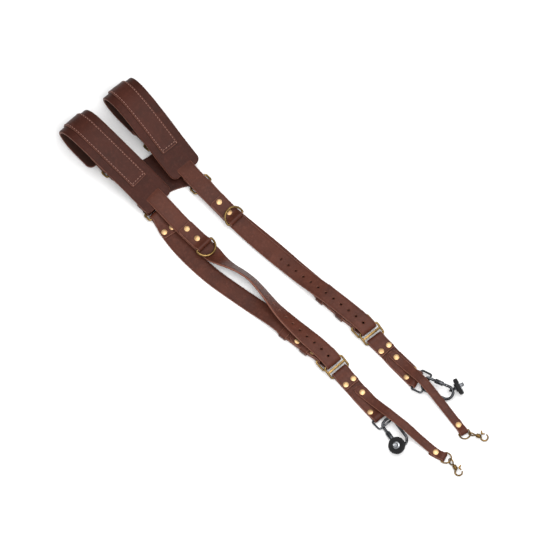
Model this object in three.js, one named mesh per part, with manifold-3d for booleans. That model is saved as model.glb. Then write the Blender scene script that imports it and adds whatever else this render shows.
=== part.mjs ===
// A leather camera harness worn over both shoulders, laid out flat with its shoulder pads folded over.
// Millimetres, +Z up. X runs from the shoulder pads to the snap hooks, Y across the two straps.
// The two straps are made by the same functions from two layouts, "near" (-Y) and "far" (+Y).
import * as THREE from "three";
import { mergeVertices } from "three/addons/utils/BufferGeometryUtils.js";
import Module from "manifold-3d";

const wasm = await Module();
wasm.setup();

// ---- Driving dimensions ------------------------------------------------------------------------

const STRAP_WIDTH = 25;
const STRAP = 2.8;               // thickness of strap leather
const PAD_WIDTH = 50;
const PAD = 4;                   // thickness of the shoulder pad
const THIN = 2;                  // thickness of tab leather
const KEEPER = 1.4;              // thickness of keeper leather
const SAFETY_WIDTH = 13;
const SAFETY = 2.4;              // thickness of the safety strap
const YOKE = 3.2;                // thickness of the yoke leather
const GAP = 0.35;                // clearance between neighbouring pieces
const RING_WIRE = 1.6;           // wire radius of the yoke rings, slide ring and front D-ring
const FRAME_WIRE = 1.5;          // wire radius of the buckle frame and the camera ring
const SMALL_WIRE = 1.1;          // wire radius of the safety D-ring and the hook eye
const CARABINER_WIRE = 2;
const CARABINER_RADIUS = 9;      // of its bends, to the wire centre
const CARABINER_REACH = 31;      // from the camera ring's bar to the centre of the far bend
const CARABINER_ROLL = 25.7;     // one leg passes over the camera ring's bar, the other under it
const CARABINER_PITCH = -2.6;
const RING_WIDTH = 30.8;         // between the centres of a ring's two side bars
const SLIDE_LENGTH = 17.5;       // between the slide ring's two end bars
const CAMERA_RING_LENGTH = 16;
const YOKE_RING_LENGTH = 11;
const BUCKLE_LENGTH = 16.6;
const CAP_RADIUS = 4.2;          // rivet cap
const CAP_HEIGHT = 1.9;
const SHANK_RADIUS = 1.7;
const HOLE_RADIUS = 2.05;        // rivet hole in the leather
const ADJUSTER_RADIUS = 1.8;
const ADJUSTER_PITCH = 13.6;
const ADJUSTER_COUNT = 12;
const DISC_RADIUS = 12;          // rubber disc of the camera screw
const DISC_HEIGHT = 6;
const STUD_RADIUS = 3.17;        // quarter-inch screw
const STUD_LENGTH = 5.5;
const LIFT = 0.05;               // keeps the lowest leather off the floor plane
const CHAPE_TIP_X = 64.5;        // end of the back strap's fold behind the buckle
const DRING_WIDTH = 28.4;        // front D-ring, between the centres of its legs
const SAFETY_RING_WIDTH = 15.2;
const SAFETY_RING_LEGS = 4;

// Heights of the stacked straps by the buckle, from the floor up
const TAIL_Z = KEEPER + GAP + STRAP / 2;
const BACK_Z = TAIL_Z + STRAP + GAP;
const CHAPE_Z = BACK_Z + STRAP + GAP;
const PIVOT_TURN = FRAME_WIRE + GAP + STRAP / 2;
const PIVOT_Z = BACK_Z + PIVOT_TURN;
const RING_TURN = RING_WIRE + 0.4 + STRAP / 2;
const YOKE_RING_Z = STRAP + PAD / 2 + GAP;
const YOKE_RING_TURN = YOKE_RING_Z - STRAP / 2;
const CAMERA_TAB_Z = STRAP / 2 + LIFT;
const TAB_FLAP_Z = CAMERA_TAB_Z + STRAP + GAP;
const TAB_BAR_Z = CAMERA_TAB_Z + RING_TURN;
const SAFETY_TURN = SMALL_WIRE + GAP + SAFETY / 2;
const SAFETY_BAR_Z = SAFETY / 2 + SAFETY_TURN + LIFT;
const SLIDE_Z = 11;              // height of the slide ring's upper bar
const SLIDE_PITCH = THREE.MathUtils.radToDeg(Math.asin((SLIDE_Z - TAB_BAR_Z) / SLIDE_LENGTH));

// The layouts below are drawn from a working origin; this moves the finished harness so that its
// own origin is near the middle of its footprint.
const FOOTPRINT_CENTRE = [3.19, 1.45, -0.03];

// ---- Layouts: points chosen along each strap, [x, y, z, yaw, roll] in millimetres and degrees --

const LAYOUTS = {
  near: {
    sign: -1,
    pad: [
      [-304, -43, 5.15, -1], [-325, -42.5, 5.3, -1], [-345, -42, 7, -2], [-359, -41.5, 14, -3],
      [-366, -41.5, 27, -3], [-360, -41, 40, -3], [-346, -40.5, 46.5, -2], [-322, -40, 45, -1],
      [-284, -38, 34, 1], [-244, -36, 22, 2], [-199, -35.4, 12, 2],
    ],
    upperRing: [-285.5, -44, 0],
    lowerRing: [-198, -47, 0],
    frontRun: [
      [-192, -36, 15.2, 0], [-178, -36.4, 13.2, 0], [-158, -36.8, 9.8, 0], [-136, -36.6, 7.4, 0],
      [-114, -36.2, 6.4, 0], [-97, -36, 6.6, 0, -4], [-81, -35.4, 9.6, 2, -32],
      [-64, -32.4, 12.6, 11, -52], [-46, -28, 13.6, 9, -58], [-29, -26, 13.8, -1, -59],
      [-12, -26.9, 13.8, -6, -57], [5, -28.9, 13.8, -7, -54], [22, -31.4, 14.4, -5, -47],
      [40, -32.8, 15.2, -2, -36], [60, -33, 15.8, 1, -25], [80, -32.4, 16, 2, -14],
      [100, -31.4, 16.2, 1, -4], [119, -31, 16.3, -2, 0], [128, -31.4, 15.6, -4, 0],
    ],
    firstHole: -23,
    slideRing: [136, -32, -4],
    backRun: [
      [-165, -53.8, STRAP / 2, -10], [-140, -58, STRAP / 2, -5], [-105, -59.6, STRAP / 2, 1],
      [-70, -58, STRAP / 2, 5], [-35, -53.2, STRAP / 2, 9], [-2, -48, STRAP / 2 + 0.35, 8],
      [20, -44.6, 4.4, 7], [37, -42.6, BACK_Z, 6], [60, -40.4, BACK_Z, 6], [94, -36.4, BACK_Z, 6],
    ],
    upperKeeper: [57.5, -40.71, 6],
    lowerKeeper: [94, -36.4, 6],
    buckle: [119.5, -33, 0],
    tabRun: [[0.3, 0, -4], [0.5, -0.4, -4.5], [0.75, -0.4, -4.5]],
    cameraRing: [236.5, -39, -4.5],
    cameraRingPitch: -7.5,
    safetyRun: [
      [184.5, -35, 7.55, 4], [196, -34, 7.55, 4], [208, -33.2, 7.8, 4], [220, -32.6, 9.6, 3],
      [232, -32, 12.2, 3], [244, -31.4, 14.9, 3], [260, -30.2, 15.9, 4], [277, -28.6, 15.3, 5],
      [296, -26.8, 9.2, 6], [313, -25, 5, 7], [324, -24, 4.1, 9],
      [333, -22.8, 4.1, 14],
    ],
    safetyRing: [341, -20.6, 18],
    hookAngle: -10,
    hookYaw: -10,
    eyeRoll: 66,
    safetyRingPitch: -6,
    carabinerYaw: -10,
    screw: { angle: -52, flat: true },
    dringFold: -113,
    dringRest: 3,
  },
  far: {
    sign: 1,
    pad: [
      [-292, 36, 5.15, 0], [-315, 36.4, 5.3, -1], [-335, 36.8, 7, -3], [-350, 37, 14, -5],
      [-357, 37, 27, -6], [-351, 36.6, 40, -6], [-337, 36, 46.5, -5], [-313, 34.2, 45, -5],
      [-275, 31, 34, -5], [-240, 27.6, 22, -5], [-206, 24.8, 12.5, -4],
    ],
    upperRing: [-272, 25, 0],
    lowerRing: [-181, 25.5, 0],
    frontRun: [
      [-192, 23.8, 15.4, -3], [-176, 23.2, 14.4, -2], [-156, 22.6, 12.2, -1], [-134, 22.3, 9.4, -1],
      [-112, 22.2, 7, 0], [-90, 22.4, 5.6, 1], [-65, 23.2, 5.1, 2], [-38, 24.7, 5, 4], [-10, 26.8, 5.2, 5],
      [15, 28.6, 7.2, 5], [38, 30.4, 11.4, 5], [58, 32.2, 15, 5], [80, 34.3, 16, 5],
      [100, 36, 16.2, 3], [119, 37.3, 16.3, 0], [128, 37.6, 15.6, -3],
    ],
    firstHole: -23,
    slideRing: [136, 37.3, -6],
    backRun: [
      [-150, 24.8, STRAP / 2, 0], [-115, 24.8, STRAP / 2, 2], [-75, 27.4, STRAP / 2, 4],
      [-35, 30, STRAP / 2, 3], [-2, 31.2, STRAP / 2 + 0.35, 2],
      [20, 31.6, 4.4, 1], [37, 32, BACK_Z, 2], [60, 32.8, BACK_Z, 2], [94, 34.4, BACK_Z, 3],
    ],
    upperKeeper: [57.5, 32.71, 2],
    lowerKeeper: [94, 34.4, 3],
    buckle: [119.5, 36.2, 0],
    tabRun: [[0.3, 0.2, -3], [0.5, -0.6, 0], [0.75, -0.8, 4]],
    cameraRing: [234.5, 33.6, 16],
    cameraRingPitch: -7.5,
    safetyRun: [
      [181.5, 35.8, 7.55, 0], [193, 36, 7.55, 0], [206, 36.2, 7.8, 0], [218, 36.3, 9.6, 0],
      [231, 36.2, 12.6, -1], [246, 35.8, 14.4, -3], [262, 34.8, 11.4, -5], [280, 32.9, 8, -7],
      [298, 30.7, 5.6, -7], [310, 29.1, 4.2, -8], [318, 28, 4.1, -9], [327, 26.7, 4.1, -12],
    ],
    safetyRing: [335, 25, -15],
    hookAngle: 60,
    hookYaw: 30,
    eyeRoll: 90,
    safetyRingPitch: -12,
    carabinerYaw: 20,
    screw: { angle: 48, tilt: 78, yaw: 70 },
    dringFold: -109,
    dringRest: -146,
  },
};

// ---- Geometry helpers --------------------------------------------------------------------------

const radians = THREE.MathUtils.degToRad;
const vector = (x, y, z) => new THREE.Vector3(x, y, z);

function heading(yaw) {
  return vector(Math.cos(radians(yaw)), Math.sin(radians(yaw)), 0);
}

function acrossFor(yaw, roll = 0) {
  const level = Math.cos(radians(roll));
  return vector(-Math.sin(radians(yaw)) * level, Math.cos(radians(yaw)) * level, Math.sin(radians(roll)));
}

// A station is one cross-section of a strap: its centre and the direction of its width.
function station(centre, yaw, roll = 0) {
  return { centre, across: acrossFor(yaw, roll) };
}

// Stations on a smooth curve through the given points.
function run(points, step = 12) {
  const curve = new THREE.CatmullRomCurve3(points.map(([x, y, z]) => vector(x, y, z)), false, "centripetal");
  const stations = [];
  const spans = points.length - 1;
  for (let span = 0; span < spans; span += 1) {
    const [x0, y0, z0, yaw0, roll0 = 0] = points[span];
    const [x1, y1, z1, yaw1, roll1 = 0] = points[span + 1];
    const cuts = Math.max(1, Math.round(Math.hypot(x1 - x0, y1 - y0, z1 - z0) / step));
    for (let cut = 0; cut < cuts; cut += 1) {
      const share = cut / cuts;
      const centre = curve.getPoint((span + share) / spans);
      const yaw = THREE.MathUtils.lerp(yaw0, yaw1, share);
      stations.push(station(centre, yaw, THREE.MathUtils.lerp(roll0, roll1, share)));
    }
  }
  const [x, y, z, yaw, roll = 0] = points[spans];
  stations.push(station(vector(x, y, z), yaw, roll));
  return stations;
}

// Stations round a bar: angles turn in the upright plane of the heading, 0 ahead and 90 up.
function turn([x, y, z], yaw, radius, fromAngle, toAngle, steps = 7) {
  const ahead = heading(yaw);
  const stations = [];
  for (let index = 0; index <= steps; index += 1) {
    const angle = radians(THREE.MathUtils.lerp(fromAngle, toAngle, index / steps));
    const centre = vector(x, y, z).addScaledVector(ahead, radius * Math.cos(angle));
    centre.z += radius * Math.sin(angle);
    stations.push(station(centre, yaw));
  }
  return stations;
}

function tangentAt(stations, index) {
  const before = stations[Math.max(0, index - 1)].centre;
  const after = stations[Math.min(stations.length - 1, index + 1)].centre;
  return after.clone().sub(before).normalize();
}

function normalAt(stations, index) {
  return tangentAt(stations, index).cross(stations[index].across).normalize();
}

// The same stations moved along their own normals.
function offset(stations, distance) {
  return stations.map((item, index) => ({
    centre: item.centre.clone().addScaledVector(normalAt(stations, index), distance),
    across: item.across,
  }));
}

// Adds close stations towards a rounded end, and gives every station its width.
function widths(stations, width, roundStart, roundEnd, endWidth = width) {
  const lengths = [0];
  for (let index = 1; index < stations.length; index += 1) {
    const step = stations[index].centre.distanceTo(stations[index - 1].centre);
    lengths.push(lengths[index - 1] + step);
  }
  const total = lengths[lengths.length - 1];
  const marks = new Set(lengths);
  const tipSteps = [0.02, 0.1, 0.25, 0.5, 0.75, 1];
  for (const share of tipSteps) {
    if (roundStart) {
      marks.add(share * roundStart);
    }
    if (roundEnd) {
      marks.add(total - share * roundEnd);
    }
  }
  const ordered = [...marks].sort((a, b) => a - b);
  const sorted = ordered.filter((mark, index) => index === 0 || mark - ordered[index - 1] > 0.2);
  return sorted.map((mark) => {
    let index = 1;
    while (index < lengths.length - 1 && lengths[index] < mark) {
      index += 1;
    }
    const share = (mark - lengths[index - 1]) / (lengths[index] - lengths[index - 1]);
    const centre = stations[index - 1].centre.clone().lerp(stations[index].centre, share);
    const across = stations[index - 1].across.clone().lerp(stations[index].across, share).normalize();
    const plain = THREE.MathUtils.lerp(width, endWidth, mark / total);
    return { centre, across, width: plain * tipShare(mark, roundStart) * tipShare(total - mark, roundEnd) };
  });
}

function tipShare(distance, length) {
  if (!length || distance >= length) {
    return 1;
  }
  const inward = 1 - distance / length;
  return Math.max(0.16, Math.sqrt(1 - inward * inward));
}

function solidMesh(positions, triangles) {
  const geometry = new THREE.BufferGeometry();
  geometry.setAttribute("position", new THREE.Float32BufferAttribute(positions, 3));
  geometry.setIndex(triangles);
  return geometry;
}

// A leather strap: a flat section carried along the stations and closed at both ends.
function strap(stations, { width, thickness, roundStart = 0, roundEnd = 0, endWidth }) {
  const sections = widths(stations, width, roundStart, roundEnd, endWidth);
  const positions = [];
  const triangles = [];
  sections.forEach((item, index) => {
    const normal = normalAt(sections, index);
    for (const [side, face] of [[-1, -1], [1, -1], [1, 1], [-1, 1]]) {
      const corner = item.centre.clone().addScaledVector(item.across, (side * item.width) / 2);
      corner.addScaledVector(normal, (face * thickness) / 2);
      positions.push(corner.x, corner.y, corner.z);
    }
  });
  for (let index = 0; index < sections.length - 1; index += 1) {
    for (let side = 0; side < 4; side += 1) {
      const a = index * 4 + side;
      const b = index * 4 + ((side + 1) % 4);
      triangles.push(a, a + 4, b, b, a + 4, b + 4);
    }
  }
  const last = (sections.length - 1) * 4;
  triangles.push(0, 1, 2, 0, 2, 3);
  triangles.push(last, last + 2, last + 1, last, last + 3, last + 2);
  return outward(solidMesh(positions, triangles));
}

// Turns the faces of a closed mesh outwards if its volume comes out negative.
function outward(geometry) {
  const position = geometry.getAttribute("position");
  const index = geometry.getIndex().array;
  const corner = (at) => vector(position.getX(at), position.getY(at), position.getZ(at));
  let volume = 0;
  for (let at = 0; at < index.length; at += 3) {
    volume += corner(index[at]).dot(corner(index[at + 1]).cross(corner(index[at + 2])));
  }
  if (volume < 0) {
    const flipped = [];
    for (let at = 0; at < index.length; at += 3) {
      flipped.push(index[at], index[at + 2], index[at + 1]);
    }
    geometry.setIndex(flipped);
  }
  return geometry;
}

// A closed wire loop lying in its own XY plane.
function wireLoop(outline, wire, sides = 6) {
  const count = outline.length;
  const positions = [];
  const triangles = [];
  outline.forEach((point, index) => {
    const before = outline[(index + count - 1) % count];
    const after = outline[(index + 1) % count];
    const into = point.clone().sub(before).normalize();
    const out = after.clone().sub(point).normalize();
    const tangent = into.clone().add(out).normalize();
    const side = new THREE.Vector2(tangent.y, -tangent.x);
    const mitre = 1 / Math.max(0.5, tangent.dot(into));
    for (let spoke = 0; spoke < sides; spoke += 1) {
      const angle = (spoke * 2 * Math.PI) / sides;
      const reach = wire * Math.cos(angle) * mitre;
      positions.push(point.x + side.x * reach, point.y + side.y * reach, wire * Math.sin(angle));
    }
  });
  for (let index = 0; index < count; index += 1) {
    for (let spoke = 0; spoke < sides; spoke += 1) {
      const a = index * sides + spoke;
      const b = index * sides + ((spoke + 1) % sides);
      const c = ((index + 1) % count) * sides + spoke;
      const d = ((index + 1) % count) * sides + ((spoke + 1) % sides);
      triangles.push(a, c, b, b, c, d);
    }
  }
  return outward(solidMesh(positions, triangles));
}

// Outline of a rectangular ring: one end bar on x = 0, the other at x = length.
function ringOutline(length, width, corner = 2.2) {
  const points = [];
  const centres = [
    [length - corner, width / 2 - corner, 0], [corner, width / 2 - corner, 90],
    [corner, corner - width / 2, 180], [length - corner, corner - width / 2, 270],
  ];
  for (const [x, y, start] of centres) {
    for (const step of [0, 45, 90]) {
      const angle = radians(start + step);
      points.push(new THREE.Vector2(x + corner * Math.cos(angle), y + corner * Math.sin(angle)));
    }
  }
  return points;
}

// Outline of a D-ring: a straight bar on x = 0, two short legs and a round bow.
function dringOutline(width, legs) {
  const radius = width / 2;
  const points = [new THREE.Vector2(0, radius), new THREE.Vector2(0, -radius)];
  const steps = 8;
  for (let step = 0; step <= steps; step += 1) {
    const angle = radians(-90 + (180 * step) / steps);
    points.push(new THREE.Vector2(legs + radius * Math.cos(angle), radius * Math.sin(angle)));
  }
  return points;
}

// Outline of the carabiner: a flat bow round the camera ring's bar and a round far end.
function carabinerOutline(radius, back, length) {
  const points = [];
  const steps = 8;
  for (let step = 0; step <= steps; step += 1) {
    const angle = radians(90 + (180 * step) / steps);
    points.push(new THREE.Vector2(back * Math.cos(angle), radius * Math.sin(angle)));
  }
  for (let step = 0; step <= steps; step += 1) {
    const angle = radians(-90 + (180 * step) / steps);
    points.push(new THREE.Vector2(length + radius * Math.cos(angle), radius * Math.sin(angle)));
  }
  return points;
}

function circleOutline(radius, steps = 14) {
  return new THREE.EllipseCurve(0, 0, radius, radius, 0, Math.PI * 2).getPoints(steps).slice(0, steps);
}

// A body of revolution about Y from [radius, height] pairs.
function lathe(profile, segments) {
  const points = profile.map(([radius, height]) => new THREE.Vector2(radius, height));
  return new THREE.LatheGeometry(points, segments);
}

function toSolid(geometry) {
  const plain = geometry.clone();
  plain.deleteAttribute("normal");
  plain.deleteAttribute("uv");
  const merged = mergeVertices(plain, 1e-4);
  return new wasm.Manifold(new wasm.Mesh({
    numProp: 3,
    vertProperties: merged.getAttribute("position").array,
    triVerts: Uint32Array.from(merged.getIndex().array),
  }));
}

function toGeometry(solid) {
  const mesh = solid.getMesh();
  const geometry = new THREE.BufferGeometry();
  geometry.setAttribute("position", new THREE.BufferAttribute(mesh.vertProperties, 3));
  geometry.setIndex(new THREE.BufferAttribute(mesh.triVerts, 1));
  return geometry;
}

function cut(geometry, cutters) {
  return toGeometry(cutters.reduce((body, cutter) => body.subtract(toSolid(cutter)), toSolid(geometry)));
}

function join(...geometries) {
  return toGeometry(geometries.map(toSolid).reduce((body, piece) => body.add(piece)));
}

// A round cutter or post standing on the Z axis, from its foot up.
function post(radius, height, foot = 0, sides = 10) {
  const geometry = new THREE.CylinderGeometry(radius, radius, height, sides);
  geometry.rotateX(Math.PI / 2);
  geometry.translate(0, 0, foot + height / 2);
  return geometry;
}

// Places a shape modelled on the Z axis at a station, its Z along the station's normal.
function placeMatrix(centre, across, normal) {
  const ahead = across.clone().cross(normal);
  return new THREE.Matrix4().makeBasis(ahead, across, normal).setPosition(centre);
}

// A cutter for a round hole, square to a strap and set a little to one side of its middle line.
function holeAt(stations, x, side, radius, foot = -STRAP, height = 2 * STRAP) {
  const at = nearest(stations, x);
  const normal = normalAt(stations, at.index);
  const { across } = stations[at.index];
  const centre = at.centre.clone().addScaledVector(across, side);
  return post(radius, height, foot, 6).applyMatrix4(placeMatrix(centre, across, normal));
}

// The place on a run of stations where it passes a given x.
function nearest(stations, x) {
  for (let index = 0; index < stations.length - 1; index += 1) {
    const a = stations[index].centre;
    const b = stations[index + 1].centre;
    if (Math.min(a.x, b.x) <= x && x <= Math.max(a.x, b.x)) {
      const share = (x - a.x) / (b.x - a.x);
      return { index, centre: a.clone().lerp(b, share) };
    }
  }
  throw new Error(`no station at x ${x}`);
}

// ---- Materials ---------------------------------------------------------------------------------

function paint(color, roughness, metalness) {
  return new THREE.MeshStandardMaterial({ color, roughness, metalness });
}
const LEATHER = paint(0x5e3a32, 0.55, 0);
const YOKE_LEATHER = paint(0x3a1f19, 0.6, 0);
const BRASS = paint(0xc9a65a, 0.28, 1);
const ANTIQUE_BRASS = paint(0x8c7440, 0.4, 1);
const STEEL = paint(0x8f9296, 0.3, 1);
const RUBBER = paint(0x1b1b1c, 0.75, 0);

const harness = new THREE.Group();

function add(name, geometry, material, parent = harness) {
  const mesh = new THREE.Mesh(geometry, material);
  mesh.name = name;
  parent.add(mesh);
  return mesh;
}

// A group whose X axis points along a heading, nose down by a pitch, then rolled about itself.
function placed([x, y, z], yaw, pitch = 0, roll = 0) {
  const group = new THREE.Group();
  group.position.set(x, y, z);
  group.rotation.set(radians(roll), radians(pitch), radians(yaw), "ZYX");
  harness.add(group);
  return group;
}

// ---- Sub-parts ---------------------------------------------------------------------------------

function rivetGeometry(length) {
  const profile = [
    [0, -length], [SHANK_RADIUS, -length], [SHANK_RADIUS, GAP], [CAP_RADIUS, GAP],
    [CAP_RADIUS * 0.8, GAP + CAP_HEIGHT * 0.65], [0, GAP + CAP_HEIGHT],
  ];
  return lathe(profile, 8).rotateX(Math.PI / 2);
}

// A rivet through a strap whose upper face is lifted off the stations by half its thickness.
function addRivet(name, stations, x, side, length, lift) {
  const at = nearest(stations, x);
  const across = stations[at.index].across.clone();
  const normal = normalAt(stations, at.index);
  if (normal.z < 0) {
    normal.negate();
  }
  const centre = at.centre.clone().addScaledVector(across, side).addScaledVector(normal, lift);
  const matrix = placeMatrix(centre, across, normal);
  add(name, rivetGeometry(length).applyMatrix4(matrix), BRASS);
}

function addPad(half, padStations) {
  const geometry = strap(padStations, { width: PAD_WIDTH, thickness: PAD, roundStart: 12, roundEnd: 12 });
  add(`${half}_shoulder_pad`, geometry, LEATHER);
}

// The long front strap: sewn round the pad, along the chest, round the slide ring and back to the buckle.
function frontStrapStations(layout, padStations) {
  const [ringX, ringY] = layout.upperRing;
  const bar = ringX - YOKE_RING_LENGTH / 2;
  const sewn = offset(padStations, STRAP / 2 + PAD / 2 + GAP);
  const flapZ = YOKE_RING_Z + YOKE_RING_TURN;
  const flap = run([[bar - 26, ringY + 0.4, flapZ, 0], [bar - 2, ringY, flapZ, 0]]);
  const rearTurn = turn([bar, ringY, YOKE_RING_Z], 0, YOKE_RING_TURN, 90, -90);
  const [slideX, slideY, slideYaw] = layout.slideRing;
  const frontTurn = turn([slideX, slideY, SLIDE_Z], slideYaw, RING_TURN, 90, -90);
  const [buckleX, buckleY] = layout.buckle;
  const under = SLIDE_Z - RING_TURN;
  const tailEnd = layout.backRun.at(-3);
  const tail = run([
    [slideX - 1.5, slideY, under, slideYaw], [buckleX + 10.5, buckleY, under - 1.1, 0],
    [buckleX + 4, buckleY, TAIL_Z + 0.7, 0], [buckleX + 0.5, buckleY, TAIL_Z + 0.05, 0],
    [buckleX - 6, buckleY, TAIL_Z, 0],
    ...layout.backRun.slice(-2).reverse().map(([x, y, , yaw]) => [x, y, TAIL_Z, yaw]),
    [tailEnd[0] + 1, tailEnd[1], TAIL_Z, tailEnd[3]],
  ]);
  const padEnd = sewn.at(-1).centre;
  const chest = run([[padEnd.x, padEnd.y, padEnd.z, layout.pad.at(-1)[3]], ...layout.frontRun]);
  return { flap, rearTurn, sewn, chest, frontTurn, tail };
}

function addFrontStrap(half, layout, pieces) {
  const { flap, rearTurn, sewn, chest, frontTurn, tail } = pieces;
  const stations = [...flap, ...rearTurn, ...sewn, ...chest.slice(1), ...frontTurn, ...tail];
  const body = strap(stations, { width: STRAP_WIDTH, thickness: STRAP, roundEnd: STRAP_WIDTH / 2 });
  const holes = [];
  for (let index = 0; index < ADJUSTER_COUNT; index += 1) {
    holes.push(holeAt(chest, layout.firstHole + index * ADJUSTER_PITCH, 0, ADJUSTER_RADIUS));
  }
  for (const x of tabRivets(layout)) {
    holes.push(holeAt(chest, x, 0, HOLE_RADIUS));
  }
  holes.push(holeAt(tail, layout.buckle[0] + 7.8, 0, 3.1));
  add(`${half}_front_strap`, cut(body, holes), LEATHER);
}

// Where the D-ring tab's two rivets sit along X.
function tabRivets(layout) {
  return [layout.dringFold - 33, layout.dringFold - 13];
}

// A folded tab riveted on the front strap, with the front D-ring in its fold.
function addDringTab(half, layout, chest) {
  const fold = layout.dringFold;
  const turnRadius = RING_WIRE + GAP + THIN / 2;
  const lowerLift = STRAP / 2 + GAP + THIN / 2;
  const from = fold - 39;
  const at = (x, lift) => {
    const place = nearest(chest, x);
    const normal = normalAt(chest, place.index);
    return place.centre.addScaledVector(normal, lift);
  };
  const bar = at(fold, lowerLift + turnRadius);
  const lower = [];
  const upper = [];
  const steps = 4;
  for (let index = 0; index <= steps; index += 1) {
    const x = from + ((fold - 8 - from) * index) / steps;
    lower.push(station(at(x, lowerLift), 0));
    upper.unshift(station(at(x, lowerLift + THIN + GAP), 0));
  }
  upper.unshift(station(at(fold - 2.5, lowerLift + turnRadius * 2 - 0.3), 0));
  const nose = turn([bar.x, bar.y, bar.z], 0, turnRadius, -90, 90);
  const geometry = strap([...lower, ...nose, ...upper], { width: STRAP_WIDTH - 1, thickness: THIN });
  const holes = tabRivets(layout).map((x) => holeAt(chest, x, 0, HOLE_RADIUS, 0, 8));
  add(`${half}_dring_tab`, cut(geometry, holes), LEATHER);
  tabRivets(layout).forEach((x, index) => {
    const name = `${half}_tab_rivet_${index + 1}`;
    addRivet(name, chest, x, 0, 6.4, lowerLift + THIN * 1.5 + GAP);
  });
  const ring = placed([bar.x, bar.y, bar.z], 0, layout.dringRest);
  add(`${half}_front_dring`, wireLoop(dringOutline(DRING_WIDTH, 3), RING_WIRE), BRASS, ring);
}

function addYokeRings(half, layout) {
  for (const [name, [x, y, yaw]] of [["upper", layout.upperRing], ["lower", layout.lowerRing]]) {
    const outline = ringOutline(YOKE_RING_LENGTH, RING_WIDTH);
    const geometry = wireLoop(outline, RING_WIRE).translate(-YOKE_RING_LENGTH / 2, 0, 0);
    add(`${half}_${name}_yoke_ring`, geometry, BRASS, placed([x, y, YOKE_RING_Z], yaw));
  }
}

// The back strap: folded round the lower yoke ring at one end and round the buckle's bar at the other.
function addBackStrap(half, layout) {
  const [ringX, ringY] = layout.lowerRing;
  const bar = ringX + YOKE_RING_LENGTH / 2;
  const [buckleX, buckleY] = layout.buckle;
  const flapPinch = 1.5 * STRAP + GAP;
  const [firstX, firstY, , firstYaw] = layout.backRun[0];
  const flap = run([
    [firstX + 8, firstY + 8 * Math.sin(radians(firstYaw)), flapPinch, firstYaw],
    [firstX - 2, firstY, flapPinch, firstYaw],
    [bar + 12, ringY + (firstY - ringY) * 0.35, flapPinch + 0.9, firstYaw * 0.5],
    [bar + 4, ringY, YOKE_RING_Z + YOKE_RING_TURN - 0.9, 0],
    [bar + 0.5, ringY, YOKE_RING_Z + YOKE_RING_TURN, 0],
  ], 9);
  const upperTurn = turn([bar, ringY, YOKE_RING_Z], 0, YOKE_RING_TURN, 90, 270);
  const main = run([
    [bar + 2, ringY, STRAP / 2, 0], [bar + 12, ringY + (firstY - ringY) * 0.35, STRAP / 2, firstYaw * 0.5],
    ...layout.backRun, [buckleX - 8, buckleY, BACK_Z, 0], [buckleX - 0.5, buckleY, BACK_Z, 0],
  ]);
  const lowerTurn = turn([buckleX, buckleY, PIVOT_Z], 0, PIVOT_TURN, -90, 90);
  const [nextX, nextY, , nextYaw] = layout.backRun.at(-1);
  const [lastX, lastY] = layout.backRun.at(-2);
  const tipY = THREE.MathUtils.lerp(lastY, nextY, (CHAPE_TIP_X - lastX) / (nextX - lastX));
  const chape = run([
    [buckleX - 1, buckleY, PIVOT_Z + PIVOT_TURN, 0], [buckleX - 6, buckleY, CHAPE_Z + 2, 0],
    [buckleX - 12, buckleY + (nextY - buckleY) * 0.3, CHAPE_Z, nextYaw * 0.5],
    [nextX, nextY, CHAPE_Z, nextYaw], [CHAPE_TIP_X, tipY, CHAPE_Z, nextYaw],
  ], 9);
  const stations = [...flap, ...upperTurn, ...main, ...lowerTurn, ...chape];
  const body = strap(stations, { width: STRAP_WIDTH, thickness: STRAP, roundEnd: STRAP_WIDTH / 2 });
  const slot = new THREE.BoxGeometry(15, 5, 14).translate(buckleX + 1.5, buckleY, PIVOT_Z - 0.6);
  add(`${half}_back_strap`, cut(body, [slot]), LEATHER);
}

// A leather loop round the stacked straps, its inside reaching up to "top".
function addKeeper(half, name, [x, y, yaw], top) {
  const outer = new THREE.Shape();
  const halfWidth = STRAP_WIDTH / 2 + 0.7 + KEEPER;
  outer.moveTo(-halfWidth, 0.01).lineTo(halfWidth, 0.01);
  outer.lineTo(halfWidth, top + KEEPER).lineTo(-halfWidth, top + KEEPER).closePath();
  const inner = new THREE.Path();
  const innerHalf = halfWidth - KEEPER;
  inner.moveTo(-innerHalf, KEEPER).lineTo(-innerHalf, top).lineTo(innerHalf, top);
  inner.lineTo(innerHalf, KEEPER).closePath();
  outer.holes.push(inner);
  const length = 12;
  const geometry = new THREE.ExtrudeGeometry(outer, { depth: length, bevelEnabled: false });
  geometry.translate(0, 0, -length / 2).rotateX(Math.PI / 2).rotateZ(Math.PI / 2);
  const group = placed([x, y, 0], yaw);
  add(`${half}_${name}`, geometry, LEATHER, group);
}

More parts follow.
